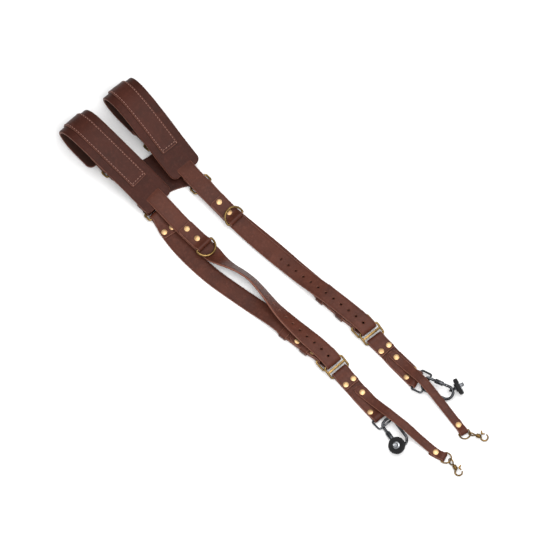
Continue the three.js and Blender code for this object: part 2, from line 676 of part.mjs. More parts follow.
function addBuckle(half, layout) {
  const [x, y, yaw] = layout.buckle;
  const outerZ = SLIDE_Z - RING_TURN - STRAP / 2 - GAP - 0.15 - FRAME_WIRE;
  const pitch = THREE.MathUtils.radToDeg(Math.asin((PIVOT_Z - outerZ) / BUCKLE_LENGTH));
  const frame = placed([x, y, PIVOT_Z], yaw, pitch);
  add(`${half}_buckle_frame`, wireLoop(ringOutline(BUCKLE_LENGTH, RING_WIDTH), FRAME_WIRE), BRASS, frame);
  const path = new THREE.CatmullRomCurve3([
    vector(x + 0.4, y, PIVOT_Z - 3.1), vector(x + 3.6, y, PIVOT_Z - 1.9), vector(x + 6.6, y, PIVOT_Z - 3.2),
    vector(x + 8.6, y, PIVOT_Z - 5.4), vector(x + 11.5, y, PIVOT_Z - 7.8),
    vector(x + 17.4, y, PIVOT_Z - 8.45),
  ]);
  const section = new THREE.Shape(circleOutline(1, 6));
  const tongue = new THREE.ExtrudeGeometry(section, { steps: 9, bevelEnabled: false, extrudePath: path });
  const eye = wireLoop(circleOutline(FRAME_WIRE + GAP + 0.8, 10), 0.8, 5);
  eye.rotateX(Math.PI / 2).translate(x, y, PIVOT_Z);
  add(`${half}_buckle_tongue`, join(tongue, eye), BRASS);
}

function lowerBar([x, y, z], yaw, pitch, length) {
  const reach = length * Math.cos(radians(pitch));
  const centre = vector(x, y, z).addScaledVector(heading(yaw), reach);
  centre.z -= length * Math.sin(radians(pitch));
  return centre;
}

function addSlideRing(half, layout) {
  const [x, y, yaw] = layout.slideRing;
  const ring = placed([x, y, SLIDE_Z], yaw, SLIDE_PITCH);
  const loop = wireLoop(ringOutline(SLIDE_LENGTH, RING_WIDTH), RING_WIRE);
  const bar = new THREE.BoxGeometry(3.4, RING_WIDTH, 2).translate(SLIDE_LENGTH / 2, 0, 0);
  add(`${half}_slide_ring`, join(loop, bar), BRASS, ring);
}

// The camera tab: one piece of strap folded round the slide ring and round the camera ring.
function addCameraTab(half, layout) {
  const [slideX, slideY, slideYaw] = layout.slideRing;
  const start = lowerBar([slideX, slideY, SLIDE_Z], slideYaw, SLIDE_PITCH, SLIDE_LENGTH);
  const [endX, endY, endYaw] = layout.cameraRing;
  const along = ([share, aside, yaw], z) => [
    THREE.MathUtils.lerp(start.x, endX, share), THREE.MathUtils.lerp(start.y, endY, share) + aside, z, yaw,
  ];
  const upperFlap = run([
    [start.x + 26, THREE.MathUtils.lerp(start.y, endY, 0.3), TAB_FLAP_Z, layout.tabRun[0][2]],
    [start.x + 12, THREE.MathUtils.lerp(start.y, endY, 0.14), TAB_FLAP_Z, slideYaw],
    [start.x + 5, start.y - 0.3, TAB_BAR_Z + RING_TURN - 1.4, slideYaw],
    [start.x + 0.8, start.y, TAB_BAR_Z + RING_TURN - 0.05, slideYaw],
  ], 8);
  const firstTurn = turn([start.x, start.y, TAB_BAR_Z], slideYaw, RING_TURN, 90, 270);
  const endAhead = heading(endYaw);
  const main = run([
    [start.x + 3, start.y, CAMERA_TAB_Z, slideYaw],
    ...layout.tabRun.map((point) => along(point, CAMERA_TAB_Z)),
    [endX - 4 * endAhead.x, endY - 4 * endAhead.y, CAMERA_TAB_Z, endYaw],
  ]);
  const secondTurn = turn([endX, endY, TAB_BAR_Z], endYaw, RING_TURN, -90, 90);
  const tipX = layout.safetyRun[0][0] - 1.5;
  const tipShareAlong = (tipX - start.x) / (endX - start.x);
  const lowerFlap = run([
    [endX - 2 * endAhead.x, endY - 2 * endAhead.y, TAB_BAR_Z + RING_TURN - 0.4, endYaw],
    [endX - 6.5 * endAhead.x, endY - 6.5 * endAhead.y, TAB_FLAP_Z + 1.3, endYaw],
    along([0.87, layout.tabRun[2][1] * 0.5, layout.tabRun[2][2]], TAB_FLAP_Z),
    along(layout.tabRun[1], TAB_FLAP_Z), along([tipShareAlong, 0, layout.tabRun[0][2]], TAB_FLAP_Z),
  ], 9);
  const stations = [...upperFlap, ...firstTurn, ...main, ...secondTurn, ...lowerFlap];
  const body = strap(stations, { width: STRAP_WIDTH, thickness: STRAP, roundEnd: STRAP_WIDTH / 2 });
  const pairX = start.x + 19.5;
  const rivetPlaces = [[upperFlap, pairX, 7], [upperFlap, pairX, -7]];
  const holes = rivetPlaces.map(([flapAt, x, side]) => holeAt(flapAt, x, side, HOLE_RADIUS, -4, 12));
  const through = post(HOLE_RADIUS, 14, -2, 6).translate(layout.safetyRun[1][0], layout.safetyRun[1][1], 0);
  add(`${half}_camera_tab`, cut(body, [...holes, through]), LEATHER);
  rivetPlaces.forEach(([flapAt, x, side], index) => {
    addRivet(`${half}_camera_tab_rivet_${index + 1}`, flapAt, x, side, 5.6, STRAP / 2);
  });
}

function addCameraRing(half, layout) {
  const [x, y, yaw] = layout.cameraRing;
  const ring = placed([x, y, TAB_BAR_Z], yaw, layout.cameraRingPitch);
  add(`${half}_camera_ring`, wireLoop(ringOutline(CAMERA_RING_LENGTH, RING_WIDTH), FRAME_WIRE), STEEL, ring);
}

// The thin safety strap riveted on the camera tab, folded round its own small D-ring.
function addSafetyStrap(half, layout) {
  const [ringX, ringY, ringYaw] = layout.safetyRing;
  const radius = SAFETY_TURN;
  const barZ = SAFETY_BAR_Z;
  const flapZ = SAFETY / 2 + LIFT;
  const ahead = heading(ringYaw);
  const top = run([
    ...layout.safetyRun,
    [ringX - 4 * ahead.x, ringY - 4 * ahead.y, barZ + radius - 0.6, ringYaw],
    [ringX - 1.2 * ahead.x, ringY - 1.2 * ahead.y, barZ + radius - 0.05, ringYaw],
  ]);
  const nose = turn([ringX, ringY, barZ], ringYaw, radius, 90, -90, 6);
  const flap = run([
    [ringX - 2 * ahead.x, ringY - 2 * ahead.y, flapZ, ringYaw],
    [ringX - 12 * ahead.x, ringY - 12 * ahead.y, flapZ, ringYaw],
    [ringX - 21 * ahead.x, ringY - 19 * ahead.y, flapZ, layout.safetyRun.at(-1)[3]],
  ]);
  const body = strap([...top, ...nose, ...flap], {
    width: SAFETY_WIDTH, thickness: SAFETY, roundStart: SAFETY_WIDTH / 2, endWidth: SAFETY_WIDTH - 1,
  });
  const [firstX, firstY] = layout.safetyRun[1];
  const end = nearest(top, layout.safetyRun.at(-1)[0] - 4);
  const holes = [
    post(HOLE_RADIUS, 8, 4, 6).translate(firstX, firstY, 0),
    post(HOLE_RADIUS, 14, -3, 6).translate(end.centre.x, end.centre.y, 0),
  ];
  add(`${half}_safety_strap`, cut(body, holes), LEATHER);
  addRivet(`${half}_safety_rivet`, top, firstX, 0, 8, SAFETY / 2);
  addRivet(`${half}_safety_end_rivet`, top, end.centre.x, 0, 3.6, SAFETY / 2);
  const ringGroup = placed([ringX, ringY, barZ], ringYaw, layout.safetyRingPitch);
  const ring = wireLoop(dringOutline(SAFETY_RING_WIDTH, SAFETY_RING_LEGS), SMALL_WIRE);
  add(`${half}_safety_dring`, ring, ANTIQUE_BRASS, ringGroup);
}

// A carabiner on the camera ring, with its screw sleeve and the camera screw in its far bend.
function addCarabiner(half, layout) {
  const [x, y, yaw] = layout.cameraRing;
  const bar = lowerBar([x, y, TAB_BAR_Z], yaw, layout.cameraRingPitch, CAMERA_RING_LENGTH);
  const group = placed([bar.x, bar.y, bar.z], layout.carabinerYaw, CARABINER_PITCH, CARABINER_ROLL);
  const outline = carabinerOutline(CARABINER_RADIUS, 5.4, CARABINER_REACH);
  add(`${half}_carabiner`, wireLoop(outline, CARABINER_WIRE), STEEL, group);
  const bore = CARABINER_WIRE + 0.3;
  const wall = CARABINER_WIRE + 1.4;
  const length = 12;
  const profile = [[bore, 0], [wall, 0], [wall, length], [bore, length]];
  const sleeve = lathe([...profile, profile[0]], 10);
  sleeve.rotateZ(-Math.PI / 2).translate(10, CARABINER_RADIUS * layout.sign, 0);
  add(`${half}_carabiner_sleeve`, sleeve, STEEL, group);
  addCameraScrew(half, layout, group);
}

// The camera screw hangs by an eye on the carabiner's far bend. Its own Z runs along the screw.
function addCameraScrew(half, layout, carabiner) {
  const { angle, flat, tilt, yaw } = layout.screw;
  carabiner.updateMatrix();
  const onWire = vector(CARABINER_RADIUS, 0, 0).applyAxisAngle(vector(0, 0, 1), radians(angle));
  onWire.x += CARABINER_REACH;
  onWire.applyMatrix4(carabiner.matrix);
  const group = flat
    ? placed([onWire.x, onWire.y, onWire.z], layout.carabinerYaw, CARABINER_PITCH, CARABINER_ROLL)
    : placed([onWire.x, onWire.y, onWire.z], yaw, tilt);
  const eyeWire = 1.2;
  const eyeRadius = CARABINER_WIRE + 0.8 + eyeWire;
  const plateFoot = eyeRadius + 0.4;
  const eye = wireLoop(circleOutline(eyeRadius, 10), eyeWire, 6).rotateX(Math.PI / 2);
  eye.rotateZ(flat ? radians(angle) : 0);
  const plate = join(post(6, 1.6, plateFoot, 12), post(2.6, 1.8, plateFoot - 0.9, 8));
  const bored = cut(plate, [post(2.2, 1.4, plateFoot + 0.6, 8)]);
  add(`${half}_screw_eye`, join(eye, bored), STEEL, group);
  const discFoot = plateFoot + 1.6 + GAP;
  const profile = [
    [0, discFoot - 0.9], [1.8, discFoot - 0.9], [1.8, discFoot], [DISC_RADIUS - 0.8, discFoot],
    [DISC_RADIUS, discFoot + 1.2], [DISC_RADIUS, discFoot + DISC_HEIGHT],
    [STUD_RADIUS, discFoot + DISC_HEIGHT],
    [STUD_RADIUS, discFoot + DISC_HEIGHT + STUD_LENGTH], [0, discFoot + DISC_HEIGHT + STUD_LENGTH],
  ];
  add(`${half}_camera_screw`, lathe(profile, 16).rotateX(Math.PI / 2), RUBBER, group);
}

// The trigger snap hook: a swivel eye on the small D-ring, a hook body and a sprung trigger.
function addSnapHook(half, layout) {
  const [ringX, ringY, ringYaw] = layout.safetyRing;
  const onRing = vector(SAFETY_RING_WIDTH / 2, 0, 0);
  onRing.applyAxisAngle(vector(0, 0, 1), radians(layout.hookAngle));
  onRing.x += SAFETY_RING_LEGS;
  const tilt = new THREE.Euler(0, radians(layout.safetyRingPitch), radians(ringYaw), "ZYX");
  onRing.applyEuler(tilt).add(vector(ringX, ringY, SAFETY_BAR_Z));
  const place = [onRing.x, onRing.y, onRing.z];
  const eyeRadius = 4.4;
  const shift = 1.7;
  const eye = wireLoop(circleOutline(eyeRadius, 12), SMALL_WIRE, 6).translate(shift, 0, 0);
  const stem = post(1.5, 6, 0, 8).rotateY(Math.PI / 2).translate(shift + eyeRadius + 0.4, 0, 0);
  add(`${half}_hook_eye`, join(eye, stem), ANTIQUE_BRASS, placed(place, layout.hookYaw, 0, layout.eyeRoll));
  const group = placed(place, layout.hookYaw);
  const barrelStart = shift + eyeRadius + 2.4;
  const barrel = lathe(
    [[3.1, 0], [3.1, 5], [2.2, 7.2], [0, 7.2], [0, 4.4], [1.85, 4.4], [1.85, 0], [3.1, 0]], 10,
  );
  barrel.rotateZ(-Math.PI / 2).translate(barrelStart, 0, 0);
  const bowRadius = 5;
  const bowX = barrelStart + 6.6 + bowRadius;
  const bow = new THREE.CatmullRomCurve3([-178, -140, -95, -50, -5, 35, 72].map((degrees) => vector(
    bowX + bowRadius * Math.cos(radians(degrees)), bowRadius * Math.sin(radians(degrees)), 0,
  )));
  const section = new THREE.Shape(circleOutline(1.3, 6));
  const hook = new THREE.ExtrudeGeometry(section, { steps: 12, bevelEnabled: false, extrudePath: bow });
  add(`${half}_hook_body`, join(barrel, hook), ANTIQUE_BRASS, group);
  const lever = new THREE.Shape();
  lever.moveTo(-1.2, 3.5).lineTo(0.4, 3).lineTo(4.6, 4.2).lineTo(4.4, 5.7).lineTo(1, 4.9);
  lever.lineTo(-0.4, 8.6).lineTo(-2.4, 8.4).closePath();
  const gate = new THREE.ExtrudeGeometry(lever, { depth: 1.8, bevelEnabled: false });
  gate.translate(bowX - bowRadius, 0, -0.9);
  add(`${half}_hook_trigger`, gate, ANTIQUE_BRASS, group);
}

// The yoke: one piece of leather with four folded lugs, one for each strap's ring.
function addYoke() {
  const lugs = [
    { ring: LAYOUTS.near.upperRing, side: 1 }, { ring: LAYOUTS.near.lowerRing, side: -1 },
    { ring: LAYOUTS.far.lowerRing, side: -1 }, { ring: LAYOUTS.far.upperRing, side: 1 },
  ];
  const halfLug = STRAP_WIDTH / 2;
  const barX = ({ ring, side }) => ring[0] + (side * YOKE_RING_LENGTH) / 2;
  const inset = 5;
  const [nearUpper, nearLower, farLower, farUpper] = lugs;
  const outline = new THREE.Shape();
  outline.moveTo(barX(nearUpper) + inset, nearUpper.ring[1] - halfLug);
  outline.quadraticCurveTo(-240, nearUpper.ring[1] - 4, barX(nearLower) - inset, nearLower.ring[1] - halfLug);
  outline.lineTo(barX(nearLower) - inset, nearLower.ring[1] + halfLug);
  outline.quadraticCurveTo(-206, -8, barX(farLower) - inset, farLower.ring[1] - halfLug);
  outline.lineTo(barX(farLower) - inset, farLower.ring[1] + halfLug);
  outline.quadraticCurveTo(-226, farUpper.ring[1] + 4, barX(farUpper) + inset, farUpper.ring[1] + halfLug);
  outline.lineTo(barX(farUpper) + inset, farUpper.ring[1] - halfLug);
  outline.quadraticCurveTo(-262, -6, barX(nearUpper) + inset, nearUpper.ring[1] + halfLug);
  outline.closePath();
  let body = new THREE.ExtrudeGeometry(outline, { depth: YOKE, bevelEnabled: false, curveSegments: 8 });
  body.translate(0, 0, 0.01);
  const radius = YOKE_RING_Z - YOKE / 2;
  for (const lug of lugs) {
    const bar = [barX(lug), lug.ring[1], YOKE_RING_Z];
    const away = lug.side > 0 ? 1 : -1;
    const back = run([
      [bar[0] + away * 19, bar[1], YOKE * 1.5 + GAP, 0], [bar[0] + away * 10, bar[1], YOKE * 1.5 + 0.6, 0],
      [bar[0] + away * 5, bar[1], YOKE_RING_Z + radius - 1.2, 0],
      [bar[0] + away * 1, bar[1], YOKE_RING_Z + radius - 0.05, 0],
    ], 8);
    const round = away > 0
      ? turn(bar, 0, radius, 90, 270)
      : turn(bar, 0, radius, 90, -90);
    const foot = run([[bar[0] + away * 1, bar[1], YOKE / 2, 0], [bar[0] + away * 9, bar[1], YOKE / 2, 0]], 8);
    const loop = strap([...back, ...round, ...foot], { width: STRAP_WIDTH, thickness: YOKE });
    body = join(body, loop);
  }
  add("yoke", body, YOKE_LEATHER);
}

// ---- Assembly ----------------------------------------------------------------------------------

for (const [half, layout] of Object.entries(LAYOUTS)) {
  const padStations = run(layout.pad, 9);
  const pieces = frontStrapStations(layout, padStations);
  addPad(half, padStations);
  addFrontStrap(half, layout, pieces);
  addDringTab(half, layout, pieces.chest);
  addYokeRings(half, layout);
  addBackStrap(half, layout);
  addKeeper(half, "upper_keeper", layout.upperKeeper, BACK_Z + STRAP / 2 + GAP);
  addKeeper(half, "lower_keeper", layout.lowerKeeper, CHAPE_Z + STRAP / 2 + GAP);
  addBuckle(half, layout);
  addSlideRing(half, layout);
  addCameraTab(half, layout);
  addCameraRing(half, layout);
  addSafetyStrap(half, layout);
  addCarabiner(half, layout);
  addSnapHook(half, layout);
}
addYoke();

const [centreX, centreY, floorZ] = FOOTPRINT_CENTRE;
harness.position.set(-centreX, -centreY, -floorZ);

export default harness;
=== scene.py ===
# The looks of a leather camera harness laid out flat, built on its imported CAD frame.
# Shapes are written in millimetres from the same working origin as the CAD layout and are turned
# into metres in the row frame when a mesh is made.
import math

import bmesh
import bpy
from mathutils import Matrix, Vector, noise


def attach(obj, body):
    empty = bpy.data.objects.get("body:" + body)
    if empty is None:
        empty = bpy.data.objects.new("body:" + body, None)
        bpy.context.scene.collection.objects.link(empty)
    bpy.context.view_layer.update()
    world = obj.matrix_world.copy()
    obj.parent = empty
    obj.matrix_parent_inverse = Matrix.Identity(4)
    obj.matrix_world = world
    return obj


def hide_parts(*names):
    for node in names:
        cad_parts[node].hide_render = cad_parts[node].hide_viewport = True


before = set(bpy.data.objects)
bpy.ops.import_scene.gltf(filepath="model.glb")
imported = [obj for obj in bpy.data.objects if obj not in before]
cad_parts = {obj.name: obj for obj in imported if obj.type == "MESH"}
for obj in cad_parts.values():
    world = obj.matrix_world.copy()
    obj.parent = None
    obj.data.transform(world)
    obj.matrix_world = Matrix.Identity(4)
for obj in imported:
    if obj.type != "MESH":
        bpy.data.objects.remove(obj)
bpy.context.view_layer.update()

# ---- Dimensions, in millimetres ----------------------------------------------------------------

WORKING_ORIGIN = Vector((3.19, 1.45, -0.03))    # of the row frame, seen from the working origin
MM = 0.001
STRAP_WIDTH = 25
STRAP = 2.8
STRIP_WIDTH = 27             # the strip sewn along the shoulder pad
PAD_WIDTH = 50
PAD = 4
THIN = 2
KEEPER = 1.4
SAFETY_WIDTH = 13
SAFETY = 2.4
YOKE = 3.2
GAP = 0.35
RING_WIRE = 1.6
FRAME_WIRE = 1.5
SMALL_WIRE = 1.1
CARABINER_WIRE = 2
CARABINER_RADIUS = 9
CARABINER_REACH = 31
CARABINER_ROLL = 25.7
CARABINER_PITCH = -2.6
RING_WIDTH = 30.8
SLIDE_LENGTH = 17.5
CAMERA_RING_LENGTH = 16
YOKE_RING_LENGTH = 11
BUCKLE_LENGTH = 16.6
CAP_RADIUS = 4.2
CAP_HEIGHT = 1.9
ADJUSTER_RADIUS = 1.8
ADJUSTER_PITCH = 13.6
ADJUSTER_COUNT = 12
DISC_RADIUS = 12
DISC_HEIGHT = 6
STUD_RADIUS = 3.17
STUD_LENGTH = 5.5
LIFT = 0.05
CHAPE_TIP_X = 64.5
DRING_WIDTH = 28.4
SAFETY_RING_WIDTH = 15.2
SAFETY_RING_LEGS = 4

TAIL_Z = KEEPER + GAP + STRAP / 2
BACK_Z = TAIL_Z + STRAP + GAP
CHAPE_Z = BACK_Z + STRAP + GAP
PIVOT_TURN = FRAME_WIRE + GAP + STRAP / 2
PIVOT_Z = BACK_Z + PIVOT_TURN
RING_TURN = RING_WIRE + 0.4 + STRAP / 2
YOKE_RING_Z = STRAP + PAD / 2 + GAP
YOKE_RING_TURN = YOKE_RING_Z - STRAP / 2
CAMERA_TAB_Z = STRAP / 2 + LIFT
TAB_FLAP_Z = CAMERA_TAB_Z + STRAP + GAP
TAB_BAR_Z = CAMERA_TAB_Z + RING_TURN
SAFETY_TURN = SMALL_WIRE + GAP + SAFETY / 2
SAFETY_BAR_Z = SAFETY / 2 + SAFETY_TURN + LIFT
SLIDE_Z = 11
SLIDE_PITCH = math.degrees(math.asin((SLIDE_Z - TAB_BAR_Z) / SLIDE_LENGTH))

# ---- Layouts: points along each strap as [x, y, z, yaw, roll] ------------------------------------

LAYOUTS = {
    "near": {
        "sign": -1,
        "pad": [
            [-304, -43, 5.15, -1], [-325, -42.5, 5.3, -1], [-345, -42, 7, -2], [-359, -41.5, 14, -3],
            [-366, -41.5, 27, -3], [-360, -41, 40, -3], [-346, -40.5, 46.5, -2], [-322, -40, 45, -1],
            [-284, -38, 34, 1], [-244, -36, 22, 2], [-199, -35.4, 12, 2],
        ],
        "strip_end": -237.6,
        "slot": -216.4,
        "upper_ring": [-285.5, -44, 0],
        "lower_ring": [-198, -47, 0],
        "front_run": [
            [-192, -36, 15.2, 0], [-178, -36.4, 13.2, 0], [-158, -36.8, 9.8, 0], [-136, -36.6, 7.4, 0],
            [-114, -36.2, 6.4, 0], [-97, -36, 6.6, 0, -4], [-81, -35.4, 9.6, 2, -32],
            [-64, -32.4, 12.6, 11, -52], [-46, -28, 13.6, 9, -58], [-29, -26, 13.8, -1, -59],
            [-12, -26.9, 13.8, -6, -57], [5, -28.9, 13.8, -7, -54], [22, -31.4, 14.4, -5, -47],
            [40, -32.8, 15.2, -2, -36], [60, -33, 15.8, 1, -25], [80, -32.4, 16, 2, -14],
            [100, -31.4, 16.2, 1, -4], [119, -31, 16.3, -2, 0], [128, -31.4, 15.6, -4, 0],
        ],
        "first_hole": -23,
        "slide_ring": [136, -32, -4],
        "back_run": [
            [-165, -53.8, STRAP / 2, -10], [-140, -58, STRAP / 2, -5], [-105, -59.6, STRAP / 2, 1],
            [-70, -58, STRAP / 2, 5], [-35, -53.2, STRAP / 2, 9], [-2, -48, STRAP / 2 + 0.35, 8],
            [20, -44.6, 4.4, 7], [37, -42.6, BACK_Z, 6], [60, -40.4, BACK_Z, 6], [94, -36.4, BACK_Z, 6],
        ],
        "upper_keeper": [57.5, -40.71, 6],
        "lower_keeper": [94, -36.4, 6],
        "buckle": [119.5, -33, 0],
        "tab_run": [[0.3, 0, -4], [0.5, -0.4, -4.5], [0.75, -0.4, -4.5]],
        "camera_ring": [236.5, -39, -4.5],
        "camera_ring_pitch": -7.5,
        "safety_run": [
            [184.5, -35, 7.55, 4], [196, -34, 7.55, 4], [208, -33.2, 7.8, 4], [220, -32.6, 9.6, 3],
            [232, -32, 12.2, 3], [244, -31.4, 14.9, 3], [260, -30.2, 15.9, 4], [277, -28.6, 15.3, 5],
            [296, -26.8, 9.2, 6], [313, -25, 5, 7], [324, -24, 4.1, 9], [333, -22.8, 4.1, 14],
        ],
        "safety_ring": [341, -20.6, 18],
        "hook_angle": -10,
        "hook_yaw": -10,
        "eye_roll": 66,
        "safety_ring_pitch": -6,
        "carabiner_yaw": -10,
        "screw_angle": -52,
        "screw_place": None,
        "dring_fold": -113,
        "dring_rest": 3,
    },
    "far": {
        "sign": 1,
        "pad": [
            [-292, 36, 5.15, 0], [-315, 36.4, 5.3, -1], [-335, 36.8, 7, -3], [-350, 37, 14, -5],
            [-357, 37, 27, -6], [-351, 36.6, 40, -6], [-337, 36, 46.5, -5], [-313, 34.2, 45, -5],
            [-275, 31, 34, -5], [-240, 27.6, 22, -5], [-206, 24.8, 12.5, -4],
        ],
        "strip_end": -240,
        "slot": -215.7,
        "upper_ring": [-272, 25, 0],
        "lower_ring": [-181, 25.5, 0],
        "front_run": [
            [-192, 23.8, 15.4, -3], [-176, 23.2, 14.4, -2], [-156, 22.6, 12.2, -1], [-134, 22.3, 9.4, -1],
            [-112, 22.2, 7, 0], [-90, 22.4, 5.6, 1], [-65, 23.2, 5.1, 2],
            [-38, 24.7, 5, 4], [-10, 26.8, 5.2, 5],
            [15, 28.6, 7.2, 5], [38, 30.4, 11.4, 5], [58, 32.2, 15, 5], [80, 34.3, 16, 5],
            [100, 36, 16.2, 3], [119, 37.3, 16.3, 0], [128, 37.6, 15.6, -3],
        ],
        "first_hole": -23,
        "slide_ring": [136, 37.3, -6],
        "back_run": [
            [-150, 24.8, STRAP / 2, 0], [-115, 24.8, STRAP / 2, 2], [-75, 27.4, STRAP / 2, 4],
            [-35, 30, STRAP / 2, 3], [-2, 31.2, STRAP / 2 + 0.35, 2],
            [20, 31.6, 4.4, 1], [37, 32, BACK_Z, 2], [60, 32.8, BACK_Z, 2], [94, 34.4, BACK_Z, 3],
        ],
        "upper_keeper": [57.5, 32.71, 2],
        "lower_keeper": [94, 34.4, 3],
        "buckle": [119.5, 36.2, 0],
        "tab_run": [[0.3, 0.2, -3], [0.5, -0.6, 0], [0.75, -0.8, 4]],
        "camera_ring": [234.5, 33.6, 16],
        "camera_ring_pitch": -7.5,
        "safety_run": [
            [181.5, 35.8, 7.55, 0], [193, 36, 7.55, 0], [206, 36.2, 7.8, 0], [218, 36.3, 9.6, 0],
            [231, 36.2, 12.6, -1], [246, 35.8, 14.4, -3], [262, 34.8, 11.4, -5], [280, 32.9, 8, -7],
            [298, 30.7, 5.6, -7], [310, 29.1, 4.2, -8], [318, 28, 4.1, -9], [327, 26.7, 4.1, -12],
        ],
        "safety_ring": [335, 25, -15],
        "hook_angle": 60,
        "hook_yaw": 30,
        "eye_roll": 90,
        "safety_ring_pitch": -12,
        "carabiner_yaw": 20,
        "screw_angle": 48,
        "screw_place": (70, 78),
        "dring_fold": -109,
        "dring_rest": -146,
    },
}


# ---- Curves ------------------------------------------------------------------------------------

def heading(yaw):
    return Vector((math.cos(math.radians(yaw)), math.sin(math.radians(yaw)), 0))


def across_for(yaw, roll=0):
    turn_angle = math.radians(yaw)
    level = math.cos(math.radians(roll))
    return Vector((-math.sin(turn_angle) * level, math.cos(turn_angle) * level, math.sin(math.radians(roll))))


def mix(a, b, share):
    return a + (b - a) * share


class Station:
    """One cross-section of a strap: its centre and the direction of its width."""

    def __init__(self, centre, across):
        self.centre = centre
        self.across = across
        self.width = 0
        self.thick = 0
        self.mark = 0


def cubic(a, b, c, d, before, span, after, share):
    """One coordinate of a centripetal Catmull-Rom curve between b and c."""
    leave = ((b - a) / before - (c - a) / (before + span) + (c - b) / span) * span
    arrive = ((c - b) / span - (d - b) / (span + after) + (d - c) / after) * span
    square = -3 * b + 3 * c - 2 * leave - arrive
    cube = 2 * b - 2 * c + leave + arrive
    return b + leave * share + square * share * share + cube * share * share * share


def run(points, step=3):
    """Stations on a smooth curve through [x, y, z, yaw, roll] points."""
    full = [list(point) + [0] * (5 - len(point)) for point in points]
    first = [2 * full[0][k] - full[1][k] for k in range(3)] + full[0][3:]
    last = [2 * full[-1][k] - full[-2][k] for k in range(3)] + full[-1][3:]
    padded = [first] + full + [last]
    stations = []
    for index in range(1, len(padded) - 2):
        a, b, c, d = padded[index - 1:index + 3]
        spans = [max(math.dist(p[:3], q[:3]) ** 0.5, 1e-3) for p, q in ((a, b), (b, c), (c, d))]
        cuts = max(1, round(math.dist(b[:3], c[:3]) / step))
        for cut in range(cuts + (index == len(padded) - 3)):
            share = cut / cuts
            x, y, z, yaw, roll = (cubic(a[k], b[k], c[k], d[k], *spans, share) for k in range(5))
            stations.append(Station(Vector((x, y, z)), across_for(yaw, roll)))
    return stations


def turn(bar, yaw, radius, from_angle, to_angle, steps=16):
    """Stations round a bar: 0 is ahead along the heading and 90 is up."""
    ahead = heading(yaw)
    stations = []
    for index in range(steps + 1):
        angle = math.radians(mix(from_angle, to_angle, index / steps))
        centre = Vector(bar) + ahead * (radius * math.cos(angle))
        centre.z += radius * math.sin(angle)
        stations.append(Station(centre, across_for(yaw)))
    return stations


def tangent_at(stations, index):
    before = stations[max(0, index - 1)].centre
    after = stations[min(len(stations) - 1, index + 1)].centre
    return (after - before).normalized()


def normal_at(stations, index):
    return tangent_at(stations, index).cross(stations[index].across).normalized()


def offset(stations, distance):
    """The same stations moved along their own normals."""
    moved = []
    for index, item in enumerate(stations):
        moved.append(Station(item.centre + normal_at(stations, index) * distance, item.across.copy()))
    return moved


def joined(*runs):
    """Runs of stations one after another, without the points that nearly repeat."""
    result = []
    for item in (item for one in runs for item in one):
        if not result or (item.centre - result[-1].centre).length > 0.25:
            result.append(item)
    return result


def resample(stations, step, extra=()):
    """Stations at even distances along the same path, and at the extra distances."""
    lengths = [0]
    for index in range(1, len(stations)):
        lengths.append(lengths[-1] + (stations[index].centre - stations[index - 1].centre).length)
    total = lengths[-1]
    count = max(2, round(total / step))
    marks = [total * index / count for index in range(count + 1)]
    marks = sorted(marks + [mark for mark in extra if 0 < mark < total])
    result = []
    index = 1
    for mark in marks:
        if result and mark - result[-1].mark < 0.04:
            continue
        while index < len(lengths) - 1 and lengths[index] < mark:
            index += 1
        share = (mark - lengths[index - 1]) / (lengths[index] - lengths[index - 1])
        before, after = stations[index - 1], stations[index]
        across = before.across.lerp(after.across, share).normalized()
        item = Station(before.centre.lerp(after.centre, share), across)
        item.mark = mark
        result.append(item)
    return result, total


def nearest(stations, x):
    """(index, centre) where a run of stations passes a given x."""
    for index in range(len(stations) - 1):
        a = stations[index].centre
        b = stations[index + 1].centre
        if min(a.x, b.x) <= x <= max(a.x, b.x):
            return index, a.lerp(b, (x - a.x) / (b.x - a.x))
    raise ValueError(f"no station at x {x}")


# ---- Meshes ------------------------------------------------------------------------------------

def to_row(point):
    return (point - WORKING_ORIGIN) * MM


def mesh_object(name, points, faces, material, rims=None, smooth=True):
    """A mesh object in the row frame from points in millimetres."""
    mesh = bpy.data.meshes.new(name)
    mesh.from_pydata([to_row(point) for point in points], [], faces)
    if rims is not None:
        attribute = mesh.attributes.new("rim", "FLOAT", "POINT")
        attribute.data.foreach_set("value", rims)
    work = bmesh.new()
    work.from_mesh(mesh)
    bmesh.ops.recalc_face_normals(work, faces=work.faces)
    work.to_mesh(mesh)
    work.free()
    mesh.materials.append(material)
    if smooth:
        mesh.shade_smooth()
    else:
        mesh.shade_flat()
    piece = bpy.data.objects.new(name, mesh)
    bpy.context.scene.collection.objects.link(piece)
    return piece


def tube(rings, closed):
    """Faces between equal rings of vertices, capped at both ends unless the tube is closed."""
    count = len(rings[0])
    faces = []
    pairs = list(zip(rings, rings[1:]))
    if closed:
        pairs.append((rings[-1], rings[0]))
    for one, two in pairs:
        for k in range(count):
            after = (k + 1) % count
            faces.append((one[k], one[after], two[after], two[k]))
    if not closed:
        faces.append(tuple(reversed(rings[0])))
        faces.append(tuple(rings[-1]))
    return faces


